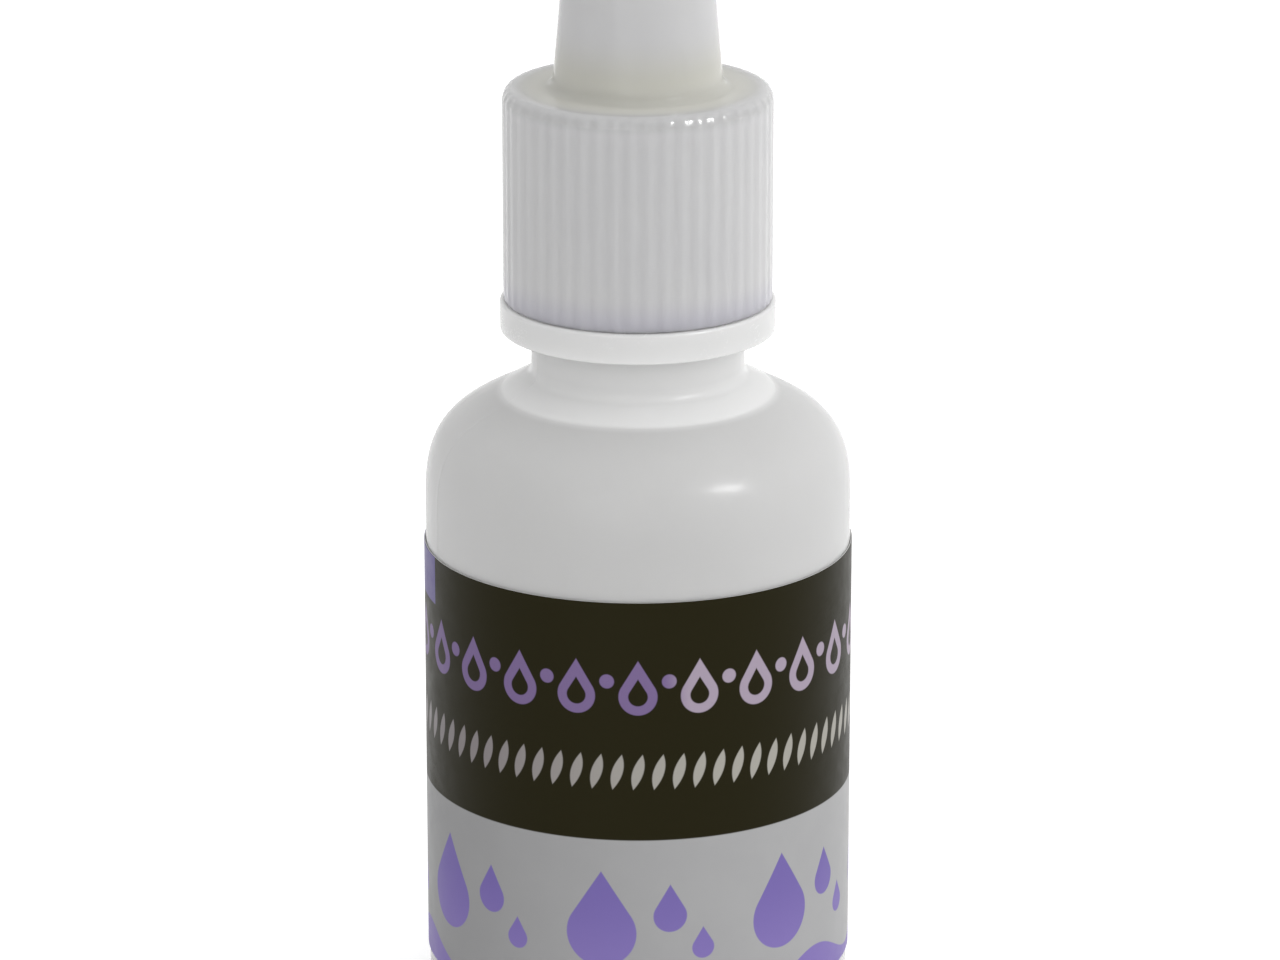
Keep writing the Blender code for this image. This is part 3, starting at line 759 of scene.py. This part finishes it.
def rib_lift(angle):
    """How far the ribs stand proud at an angle about the axis, from a valley to a crest and down again."""
    pitch = 2 * math.pi / RIB_COUNT
    off = abs(((angle - RIB_PHASE) / pitch + 0.5) % 1 - 0.5)
    flank = (off - RIB_CREST_SHARE / 2) / (0.5 - RIB_CREST_SHARE / 2 - RIB_VALLEY_SHARE / 2)
    return RIB_HEIGHT * (1 - smoothed(flank))


def skirt_profile():
    """(radius, height, rib share) up the skirt's outside and over its top edge, which is a chamfer rounded
    into both faces."""
    low_edge = (SKIRT_RADIUS - SKIRT_LOW_EDGE, SKIRT_Z + SKIRT_LOW_EDGE)
    points = [(*point, RIB_LOW_SHARE) for point in arc(low_edge, SKIRT_LOW_EDGE, -math.pi / 2, 0, steps=5)]
    points += [(SKIRT_RADIUS, SKIRT_Z + rise, share) for rise, share in RIB_SHARES_ABOVE]
    below_chamfer = (SKIRT_RADIUS - TOP_EDGE_RADIUS, CAP_TOP_Z - TOP_EDGE_HEIGHT)
    points += [(*point, 1) for point in arc(below_chamfer, TOP_EDGE_RADIUS, 0, TOP_CHAMFER_LEAN, steps=4)]
    above_chamfer = (
        below_chamfer[0] - TOP_CHAMFER_LENGTH * math.sin(TOP_CHAMFER_LEAN),
        below_chamfer[1] + TOP_CHAMFER_LENGTH * math.cos(TOP_CHAMFER_LEAN),
    )
    over_edge = arc(above_chamfer, TOP_EDGE_RADIUS, TOP_CHAMFER_LEAN, math.pi / 2, steps=8)
    return points + [(*point, min(1, (8 - step) / 5)) for step, point in enumerate(over_edge)]


def tower_profile():
    """From the flat top up the tower's outside to the gate mark in its middle."""
    slope = math.tan(TOWER_DRAFT)
    fillet_r = TOWER_RADIUS - TOWER_FILLET * slope + TOWER_FILLET / math.cos(TOWER_DRAFT)
    fillet_centre = (fillet_r, CAP_TOP_Z + TOWER_FILLET)
    edge_z = TOWER_TOP_Z - TOWER_EDGE_RADIUS
    edge_r = TOWER_RADIUS - (edge_z - CAP_TOP_Z) * slope - TOWER_EDGE_RADIUS / math.cos(TOWER_DRAFT)
    points = arc(fillet_centre, TOWER_FILLET, 3 * math.pi / 2, math.pi + TOWER_DRAFT, steps=10)
    points += arc((edge_r, edge_z), TOWER_EDGE_RADIUS, TOWER_DRAFT, math.pi / 2, steps=14)
    for step in range(GATE_STEPS + 1):
        share = step / GATE_STEPS
        sunk = GATE_DEPTH * (1 - math.cos(math.pi * share)) / 2
        points.append((GATE_RADIUS + (GATE_NUB_RADIUS - GATE_RADIUS) * share, TOWER_TOP_Z - sunk))
    nub_z = TOWER_TOP_Z - GATE_DEPTH / 2
    return points + [(GATE_NUB_RADIUS * GATE_NUB_TAPER, nub_z), (0, nub_z)]


def cap_inside_profile():
    """From the end of the stopper pin, up it to the ceiling, and down the inside to the skirt's edge."""
    ceiling_radius = TOWER_BORE - (TOWER_CEILING_Z - CAP_CEILING_Z) * math.tan(TOWER_DRAFT)
    return [
        (0, PIN_END_Z),
        (PIN_END_RADIUS, PIN_END_Z),
        (PIN_RADIUS, TOWER_CEILING_Z),
        (ceiling_radius, TOWER_CEILING_Z),
        (TOWER_BORE, CAP_CEILING_Z),
        (CAP_BORE, CAP_CEILING_Z),
        (CAP_BORE, SKIRT_Z + SKIRT_LEAD_IN),
        (CAP_BORE + SKIRT_LEAD_IN / 2, SKIRT_Z),
    ]


CAP_COLOUR = (0.49, 0.489, 0.494, 1)
CAP_CLOUD = (0.498, 0.497, 0.50, 1)
CAP_WARM_COLOUR = (0.47, 0.465, 0.42, 1)
CAP_WARM_TOP_Z = 67.0 * MM
# Painted shade: the plate and its rim are darker than the skirt, against the extra light their upward faces
# catch
CAP_PLATE_PAINTED_SHADE = (0.415, 0.412, 0.397, 1)
CAP_PLATE_FADE = 1.2 * MM
CAP_RIM_PAINTED_SHADE = (0.40, 0.399, 0.401, 1)
CAP_RIM_RADII = (7.2 * MM, 8.2 * MM)
CAP_RIM_BOTTOM_Z = CAP_TOP_Z - 1.6 * TOP_EDGE_HEIGHT
# Painted light: a lighter, warmer colour that lifts the shade in the crease at the tower's foot
CAP_CORNER_PAINTED_LIGHT = (0.507, 0.503, 0.464, 1)
CAP_CORNER_RADIUS = TOWER_RADIUS + 0.4 * MM
CAP_CORNER_CORE = 0.4 * MM
CAP_CORNER_REACH = 2.2 * MM
# Painted shade: the skirt's lower edge, next to the ring, is darker and bluer
CAP_LOW_PAINTED_SHADE = (0.425, 0.418, 0.462, 1)
CAP_LOW_HEIGHT = 2.4 * MM
CAP_GLOSS = 0.15
CAP_RIM_GLOSS = 0.5


def from_axis(tree, place):
    """The distance of a point from the bottle's axis."""
    flat = add_node(tree, "VectorMath", {0: place, 1: (1, 1, 0)}, operation="MULTIPLY").outputs["Vector"]
    return add_node(tree, "VectorMath", {0: flat}, operation="LENGTH").outputs["Value"]


def cap_finish():
    """Milky polypropylene, warmer over the plug. Painted shade darkens the top and its rim, and darkens and
    cools the skirt's lower edge by the ring; painted light lightens the crease at the tower's foot. The rim's
    rounded rib ends are the glossiest part."""
    made, tree, shader = new_material(
        "milky_cap_plastic",
        {
            "Subsurface Weight": 1.0,
            "Subsurface Scale": 2.5 * MM,
            "Specular IOR Level": 0.03,
            "Coat Roughness": 0.19,
        },
    )
    colour, roughness = add_plastic(
        tree,
        shader,
        (CAP_COLOUR, CAP_CLOUD),
        cloud_size=5 * MM,
        ripple_size=1.2 * MM,
        roughness=(0.11, 0.15),
        strength=0.1,
        depth=0.012 * MM,
    )
    place = add_node(tree, "TexCoord").outputs["Object"]
    height = add_node(tree, "SeparateXYZ", {"Vector": place}).outputs["Z"]
    reach = from_axis(tree, place)

    # Masks of the top above the skirt, the warm foot of the tower, and the plate and rim that get painted shade
    on_top = ramp(tree, height, CAP_TOP_Z - TOP_EDGE_HEIGHT, CAP_TOP_Z - TOP_EDGE_HEIGHT / 3)
    warm = maths(tree, "MULTIPLY", on_top, ramp(tree, height, CAP_WARM_TOP_Z, CAP_TOP_Z + TOWER_FILLET))
    low_on_top = ramp(tree, height, CAP_TOP_Z + CAP_PLATE_FADE, CAP_TOP_Z)
    on_plate = maths(tree, "MULTIPLY", on_top, low_on_top)
    above_ribs = ramp(tree, height, CAP_RIM_BOTTOM_Z, CAP_TOP_Z - TOP_EDGE_HEIGHT / 2)
    on_rim = maths(tree, "MULTIPLY", above_ribs, ramp(tree, reach, *CAP_RIM_RADII))

    # Masks of painted light in the tower's corner with the plate, and of painted shade on the skirt's lower
    # edge
    beside_corner = maths(tree, "SUBTRACT", reach, CAP_CORNER_RADIUS)
    above_corner = maths(tree, "SUBTRACT", height, CAP_TOP_Z)
    offset = add_node(tree, "CombineXYZ", {"X": beside_corner, "Y": above_corner}).outputs[0]
    from_corner = add_node(tree, "VectorMath", {0: offset}, operation="LENGTH").outputs["Value"]
    painted_light_in_corner = ramp(tree, from_corner, CAP_CORNER_REACH, CAP_CORNER_CORE)
    low = ramp(tree, height, SKIRT_Z + CAP_LOW_HEIGHT, SKIRT_Z)

    # The warm tint over the plug is the plastic's own colour; the others are painted shade and painted light
    for mask, tint in (
        (warm, CAP_WARM_COLOUR),
        (on_plate, CAP_PLATE_PAINTED_SHADE),
        (on_rim, CAP_RIM_PAINTED_SHADE),
        (painted_light_in_corner, CAP_CORNER_PAINTED_LIGHT),
        (low, CAP_LOW_PAINTED_SHADE),
    ):
        colour = blended(tree, mask, colour, tint)
    gloss = maths(tree, "MULTIPLY_ADD", on_plate, -CAP_GLOSS, CAP_GLOSS)
    gloss = maths(tree, "MAXIMUM", gloss, maths(tree, "MULTIPLY", on_rim, CAP_RIM_GLOSS))
    scuffs = add_scuffs(tree, length=4 * MM, amount=0.03)
    gloss = maths(tree, "MULTIPLY_ADD", scuffs, -GLOSS_LOST_TO_SCUFFS, gloss)
    tree.links.new(colour, shader.inputs["Base Color"])
    tree.links.new(roughness, shader.inputs["Roughness"])
    tree.links.new(gloss, shader.inputs["Coat Weight"])
    return made


cap_mesh = bmesh.new()
around_cap = even_angles(RIB_COUNT * STEPS_PER_RIB)
cap_rings = turned(cap_mesh, skirt_profile(), around_cap, lift=rib_lift)
tower_rings = turned(cap_mesh, tower_profile(), around_cap)
skin(cap_mesh, cap_rings[-1], tower_rings[0])
cap_inside_rings = turned(cap_mesh, cap_inside_profile(), around_cap)
skin(cap_mesh, cap_inside_rings[-1], cap_rings[0])
cap_thread_crest = FINISH_RADIUS + CAP_THREAD_CLEARANCE
add_thread(cap_mesh, CAP_BORE, cap_thread_crest, NECK_THREAD_Z - PITCH / 2, CAP_THREAD_TURNS)
finish_piece("ribbed_cap", cap_mesh, cap_finish(), "screw_cap", "cap")


# The label is a printed film wrapped once around the straight wall, glued where its end laps over its
# start at the back. A dark band with lilac and cream motifs lies over a light grey stock with purple drops
# and waves, and a plain violet panel fills the band's upper corner at the side.
LABEL_BOTTOM_Z = 3.6 * MM
LABEL_TOP_Z = 32.0 * MM
LABEL_GLUE = 0.05 * MM
LABEL_RADIUS = BODY_RADIUS + LABEL_GLUE
LABEL_THICKNESS = 0.08 * MM
LABEL_LAP = math.radians(12)
LABEL_LAP_RAMP = math.radians(4)
LABEL_LAP_GAP = 0.02 * MM
LABEL_SEAM = math.radians(120)
LABEL_STEPS = 240
LAP_RAMP_STEPS = 4
LAP_STEPS = 8


def add_label_film(bm):
    """The film, whose last few degrees climb over its first and lie on them."""
    angles = even_angles(LABEL_STEPS)
    angles += [2 * math.pi - LABEL_LAP_RAMP * step / LAP_RAMP_STEPS for step in range(LAP_RAMP_STEPS + 1)]
    angles += [2 * math.pi + LABEL_LAP * step / LAP_STEPS for step in range(1, LAP_STEPS + 1)]
    sections = []
    for angle in in_order(angles):
        climb = smoothed((angle - 2 * math.pi + LABEL_LAP_RAMP) / LABEL_LAP_RAMP)
        inner = LABEL_RADIUS + (LABEL_THICKNESS + LABEL_LAP_GAP) * climb
        outer = inner + LABEL_THICKNESS
        corners = [
            (inner, LABEL_BOTTOM_Z),
            (outer, LABEL_BOTTOM_Z),
            (outer, LABEL_TOP_Z),
            (inner, LABEL_TOP_Z),
        ]
        across, deep = math.cos(LABEL_SEAM + angle), math.sin(LABEL_SEAM + angle)
        sections.append([(radius * across, radius * deep, z) for radius, z in corners])
    swept(bm, sections)


# The print. Places along the film are measured from the front, and a drop is given by the height of its
# foot, its width and how tall it is.
PRINT_LENGTH = 2 * math.pi * LABEL_RADIUS
PRINT_SOFTNESS = 0.05 * MM
# Painted light: the stock's grey goes from shaded on the left to lit on the right
STOCK_SHADED_LEFT = (0.268, 0.268, 0.271, 1)
STOCK_LIT_RIGHT = (0.355, 0.355, 0.359, 1)
STOCK_CLOUD_SHADED_LEFT = (0.274, 0.274, 0.277, 1)
STOCK_CLOUD_LIT_RIGHT = (0.363, 0.363, 0.366, 1)
LABEL_BACK = (0.80, 0.80, 0.79, 1)
PURPLE = (0.155, 0.118, 0.34, 1)
PURPLE_LIGHT = (0.205, 0.157, 0.40, 1)
PURPLE_LIGHTENING = (13 * MM, 5 * MM)
WAVE_LENGTH = 11.0 * MM
WAVE_HEIGHT = 0.9 * MM
WAVE_RISE = 1.6 * MM
DROP_GROUPS = 7
DROP_PLACES = (-2.4 * MM, 2.1 * MM, 4.3 * MM)
DROPS = ((7.0 * MM, 4.6 * MM, 6.6 * MM), (9.4 * MM, 2.2 * MM, 3.3 * MM), (7.4 * MM, 1.5 * MM, 2.2 * MM))
BAND_BOTTOM_Z = 15.8 * MM
BAND_COLOUR = (0.0125, 0.0105, 0.0022, 1)
PANEL_BOTTOM_Z = 28.8 * MM
PANEL_START = math.radians(-112)
PANEL_END = math.radians(-70)
PANEL_COLOUR = (0.12, 0.10, 0.24, 1)
ROW_COUNT = 22
ROW_DROP = (24.4 * MM, 2.5 * MM, 3.7 * MM)
ROW_LINE = 0.62 * MM
ROW_DOT = (26.2 * MM, 0.95 * MM, 0.95 * MM)
ROW_PALING = (1.5 * MM, 3.5 * MM)
LILAC = (0.165, 0.115, 0.24, 1)
PALE_LILAC = (0.33, 0.275, 0.345, 1)
PETAL_COUNT = 66
PETAL_MIDDLE_Z = 20.5 * MM
PETAL_HALF_HEIGHT = 1.2 * MM
PETAL_HALF_WIDTH = 0.36 * MM
PETAL_LEAN = 0.25
PETAL_PALING = (-13 * MM, 6 * MM)
PINKISH = (0.215, 0.195, 0.20, 1)
CREAM = (0.33, 0.318, 0.285, 1)
SEAM_SOFTNESS = 0.002


def between(tree, value, low, high):
    """A mask of 1 between two values."""
    above = ramp(tree, value, low - PRINT_SOFTNESS, low + PRINT_SOFTNESS)
    below = ramp(tree, value, high + PRINT_SOFTNESS, high - PRINT_SOFTNESS)
    return maths(tree, "MULTIPLY", above, below)


def repeated(tree, value, pitch, shift=0.0):
    """The offset from the middle of the nearest of a row of evenly spaced places."""
    shifted = maths(tree, "SUBTRACT", value, shift)
    nearest = maths(tree, "MULTIPLY", maths(tree, "ROUND", maths(tree, "DIVIDE", shifted, pitch)), pitch)
    return maths(tree, "SUBTRACT", shifted, nearest)


def drop_shape(tree, across, height, bottom_z, width, tall, grow=0.0):
    """A mask of a drop with its point up: a round foot, and straight sides that leave it without a kink."""
    half = width / 2 + grow
    rise = maths(tree, "SUBTRACT", height, bottom_z + width / 2)
    squares = maths(tree, "ADD", maths(tree, "POWER", across, 2), maths(tree, "POWER", rise, 2))
    in_foot = ramp(tree, maths(tree, "SQRT", squares), half + PRINT_SOFTNESS, half - PRINT_SOFTNESS)
    tip = tall - width / 2 + grow * 2
    if tip <= half:
        return in_foot
    slope = half / math.sqrt(tip**2 - half**2)
    side = maths(tree, "MULTIPLY", maths(tree, "SUBTRACT", tip, rise), slope)
    beyond = maths(tree, "SUBTRACT", maths(tree, "ABSOLUTE", across), side)
    in_sides = ramp(tree, beyond, PRINT_SOFTNESS, -PRINT_SOFTNESS)
    above_foot = ramp(tree, rise, half**2 / tip - PRINT_SOFTNESS, half**2 / tip)
    return maths(tree, "MAXIMUM", in_foot, maths(tree, "MULTIPLY", in_sides, above_foot))


def drops_and_waves(tree, along, height):
    """A mask of the waves along the foot, and of the drops of three sizes over them."""
    wave = maths(tree, "SINE", maths(tree, "MULTIPLY", along, 2 * math.pi / WAVE_LENGTH))
    crest = maths(tree, "MULTIPLY_ADD", wave, WAVE_HEIGHT, LABEL_BOTTOM_Z + WAVE_RISE)
    printed = ramp(tree, maths(tree, "SUBTRACT", height, crest), PRINT_SOFTNESS, -PRINT_SOFTNESS)
    for place, drop in zip(DROP_PLACES, DROPS):
        cell = repeated(tree, along, PRINT_LENGTH / DROP_GROUPS, place)
        printed = maths(tree, "MAXIMUM", printed, drop_shape(tree, cell, height, *drop))
    return printed


def row_of_drops(tree, along, height):
    """A mask of the row of outlined drops, with a dot between each two."""
    pitch = PRINT_LENGTH / ROW_COUNT
    cell = repeated(tree, along, pitch)
    outer = drop_shape(tree, cell, height, *ROW_DROP)
    inner = drop_shape(tree, cell, height, *ROW_DROP, grow=-ROW_LINE)
    outline = maths(tree, "SUBTRACT", outer, inner, clamp=True)
    dot = drop_shape(tree, repeated(tree, along, pitch, pitch / 2), height, *ROW_DOT)
    return maths(tree, "MAXIMUM", outline, dot)


def row_of_petals(tree, along, height):
    """A mask of the row of slim petals, pointed at both ends and leaning to the right."""
    rise = maths(tree, "SUBTRACT", height, PETAL_MIDDLE_Z)
    upright = maths(tree, "MULTIPLY_ADD", rise, -PETAL_LEAN, along)
    cell = repeated(tree, upright, PRINT_LENGTH / PETAL_COUNT)
    share = maths(tree, "DIVIDE", rise, PETAL_HALF_HEIGHT)
    fullness = maths(tree, "SUBTRACT", 1, maths(tree, "POWER", share, 2))
    half = maths(tree, "MULTIPLY", fullness, PETAL_HALF_WIDTH)
    beyond = maths(tree, "SUBTRACT", maths(tree, "ABSOLUTE", cell), half)
    return ramp(tree, beyond, PRINT_SOFTNESS, -PRINT_SOFTNESS)


def label_finish():
    """Printed film with a satin face, whose stock and gloss vary a little over the print, and whose stock
    has painted light, lighter towards the right.
    """
    made, tree, shader = new_material("label_film", {"Specular IOR Level": 0.06})
    place = add_node(tree, "TexCoord").outputs["Object"]
    axes = add_node(tree, "SeparateXYZ", {"Vector": place}).outputs
    height = axes["Z"]
    angle = maths(tree, "ARCTAN2", axes["X"], maths(tree, "MULTIPLY", axes["Y"], -1))
    along = maths(tree, "MULTIPLY", angle, LABEL_RADIUS)

    # Painted light: the stock's grey is lighter towards the right side, where the light is stronger
    painted_light_to_right = maths(tree, "MULTIPLY_ADD", maths(tree, "SINE", angle), 0.5, 0.5)
    stock = blended(tree, painted_light_to_right, STOCK_SHADED_LEFT, STOCK_LIT_RIGHT)
    stock_cloud = blended(tree, painted_light_to_right, STOCK_CLOUD_SHADED_LEFT, STOCK_CLOUD_LIT_RIGHT)
    colour, roughness = add_plastic(
        tree,
        shader,
        (stock, stock_cloud),
        cloud_size=3 * MM,
        ripple_size=6 * MM,
        roughness=(0.34, 0.42),
        strength=0.3,
        depth=0.03 * MM,
    )
    purple_ink = blended(tree, ramp(tree, height, *PURPLE_LIGHTENING), PURPLE, PURPLE_LIGHT)
    colour = blended(tree, drops_and_waves(tree, along, height), colour, purple_ink)

    # The dark band, with the panel in its corner
    on_band = ramp(tree, height, BAND_BOTTOM_Z - PRINT_SOFTNESS, BAND_BOTTOM_Z + PRINT_SOFTNESS)
    colour = blended(tree, on_band, colour, BAND_COLOUR)
    at_side = between(tree, angle, PANEL_START, PANEL_END)
    on_panel = maths(tree, "MULTIPLY", at_side, between(tree, height, PANEL_BOTTOM_Z, LABEL_TOP_Z + MM))
    colour = blended(tree, on_panel, colour, PANEL_COLOUR)

    # The rows on the band get paler towards the right, as far as the lap at the back
    seam = LABEL_SEAM + LABEL_LAP + math.pi / 2 - 2 * math.pi
    past_seam = ramp(tree, angle, seam + SEAM_SOFTNESS, seam - SEAM_SOFTNESS)
    pale = maths(tree, "MAXIMUM", ramp(tree, along, *ROW_PALING), past_seam)
    row_ink = blended(tree, pale, LILAC, PALE_LILAC)
    colour = blended(tree, row_of_drops(tree, along, height), colour, row_ink)
    creamy = maths(tree, "MAXIMUM", ramp(tree, along, *PETAL_PALING), past_seam)
    petal_ink = blended(tree, creamy, PINKISH, CREAM)
    colour = blended(tree, row_of_petals(tree, along, height), colour, petal_ink)

    # The back of the film is bare and white
    middle = LABEL_RADIUS + LABEL_THICKNESS / 2
    on_back = ramp(tree, from_axis(tree, place), middle + LABEL_THICKNESS / 8, middle - LABEL_THICKNESS / 8)
    colour = blended(tree, on_back, colour, LABEL_BACK)

    scuffed = maths(tree, "ADD", roughness, add_scuffs(tree, length=6 * MM, amount=0.06))
    tree.links.new(colour, shader.inputs["Base Color"])
    tree.links.new(scuffed, shader.inputs["Roughness"])
    return made


label_mesh = bmesh.new()
add_label_film(label_mesh)
finish_piece("printed_label", label_mesh, label_finish(), "label", "bottle")


# The studio is a white floor in even light, which is stronger from the right and the front. A soft strip
# on the front left and a small window high on the front right show only as reflections, and a long-lens
# camera looks slightly down on the bottle from the front.
FLOOR_HALF = 600 * MM
FLOOR_GREYS = ((0.84, 0.84, 0.84, 1), (0.86, 0.86, 0.86, 1))
FLOOR_GRAIN = 40.0
FLOOR_GLOW = 0.4
LAMP_AIM = Vector((0, 0, 38 * MM))
SKY_LEVEL = 1.07
SKY_SLOPE = (0.58, -0.44, 0.0)
SKY_FADE = 0.4
CAMERA_ELEVATION = math.radians(17.6)
CAMERA_DISTANCE = 402 * MM
CAMERA_AIM = Vector((0.13 * MM, 0, 35.8 * MM))
CAMERA_LENS = 171.56
CAMERA_SENSOR = 36


def seen_rays(tree):
    """1 for rays that show a surface, in a mirror or through glass too, and 0 for those that light one."""
    path = add_node(tree, "LightPath").outputs
    seen = maths(tree, "MAXIMUM", path["Is Camera Ray"], path["Is Glossy Ray"])
    return maths(tree, "MAXIMUM", seen, path["Is Transmission Ray"])


def floor_finish():
    """White to the camera, in glass and in gloss, and shaded a little where the bottle takes its light."""
    made = bpy.data.materials.new("floor_white")
    made.use_nodes = True
    tree = made.node_tree
    tree.nodes.remove(tree.nodes["Principled BSDF"])
    grain = add_node(tree, "TexNoise", {"Scale": FLOOR_GRAIN}).outputs["Fac"]
    matt = add_node(tree, "BsdfDiffuse", {"Color": blended(tree, grain, *FLOOR_GREYS)}).outputs[0]
    strength = maths(tree, "MULTIPLY", seen_rays(tree), FLOOR_GLOW)
    glow = add_node(tree, "Emission", {"Strength": strength}).outputs[0]
    both = add_node(tree, "AddShader", {0: matt, 1: glow}).outputs[0]
    tree.links.new(both, tree.nodes["Material Output"].inputs["Surface"])
    return made


def add_reflection(name, azimuth, elevation, distance, width, height, watts, roll=0):
    """A rectangular lamp that faces the bottle and shows only in its gloss. Azimuth 0 is at the front, and
    90 degrees to the right."""
    made = bpy.data.lights.new(name, "AREA")
    made.shape = "RECTANGLE"
    made.size, made.size_y = width, height
    made.energy = watts
    lamp = bpy.data.objects.new(name, made)
    turn, lift = math.radians(azimuth), math.radians(elevation)
    away = Vector((math.sin(turn) * math.cos(lift), -math.cos(turn) * math.cos(lift), math.sin(lift)))
    lamp.location = LAMP_AIM + away * distance
    facing = away.to_track_quat("Z", "Y").to_matrix() @ Matrix.Rotation(math.radians(roll), 3, "Z")
    lamp.rotation_euler = facing.to_euler()
    lamp.visible_diffuse = False
    bpy.context.scene.collection.objects.link(lamp)


floor_mesh = bmesh.new()
floor_corners = [(-1, -1), (1, -1), (1, 1), (-1, 1)]
floor_mesh.faces.new([floor_mesh.verts.new((x * FLOOR_HALF, y * FLOOR_HALF, 0)) for x, y in floor_corners])
floor_data = bpy.data.meshes.new("floor")
floor_mesh.to_mesh(floor_data)
floor_mesh.free()
floor_data.materials.append(floor_finish())
floor = bpy.data.objects.new("floor", floor_data)
bpy.context.scene.collection.objects.link(floor)

add_reflection("front_strip", -20, 12, 450 * MM, 240 * MM, 420 * MM, watts=0.65)
add_reflection("right_window", 55.5, 33, 420 * MM, 115 * MM, 56 * MM, watts=1.4, roll=-38)

world = bpy.data.worlds.new("even_light")
world.use_nodes = True
world_tree = world.node_tree
background = world_tree.nodes["Background"]
direction = add_node(world_tree, "TexCoord").outputs["Generated"]
sky_axes = add_node(world_tree, "SeparateXYZ", {"Vector": direction}).outputs
uneven = add_node(world_tree, "VectorMath", {0: direction, 1: SKY_SLOPE}, operation="DOT_PRODUCT")
low_in_sky = maths(world_tree, "MULTIPLY_ADD", sky_axes["Z"], -SKY_FADE, 1)
sky = maths(world_tree, "MULTIPLY_ADD", uneven.outputs["Value"], low_in_sky, SKY_LEVEL)
sky_shown = add_node(world_tree, "Mix", {0: seen_rays(world_tree), 2: sky, 3: 1.0}).outputs[0]
world_tree.links.new(sky_shown, background.inputs["Strength"])
background.inputs["Color"].default_value = (1, 1, 1, 1)
bpy.context.scene.world = world

camera_data = bpy.data.cameras.new("camera")
camera_data.lens = CAMERA_LENS
camera_data.sensor_width = CAMERA_SENSOR
camera_data.clip_start = 10 * MM
camera = bpy.data.objects.new("camera", camera_data)
camera_back = Vector((0, -math.cos(CAMERA_ELEVATION), math.sin(CAMERA_ELEVATION)))
camera.location = CAMERA_AIM + camera_back * CAMERA_DISTANCE
camera.rotation_euler = camera_back.to_track_quat("Z", "Y").to_euler()
bpy.context.scene.collection.objects.link(camera)
bpy.context.scene.camera = camera
bpy.context.scene.view_settings.view_transform = "Standard"

bpy.context.view_layer.update()
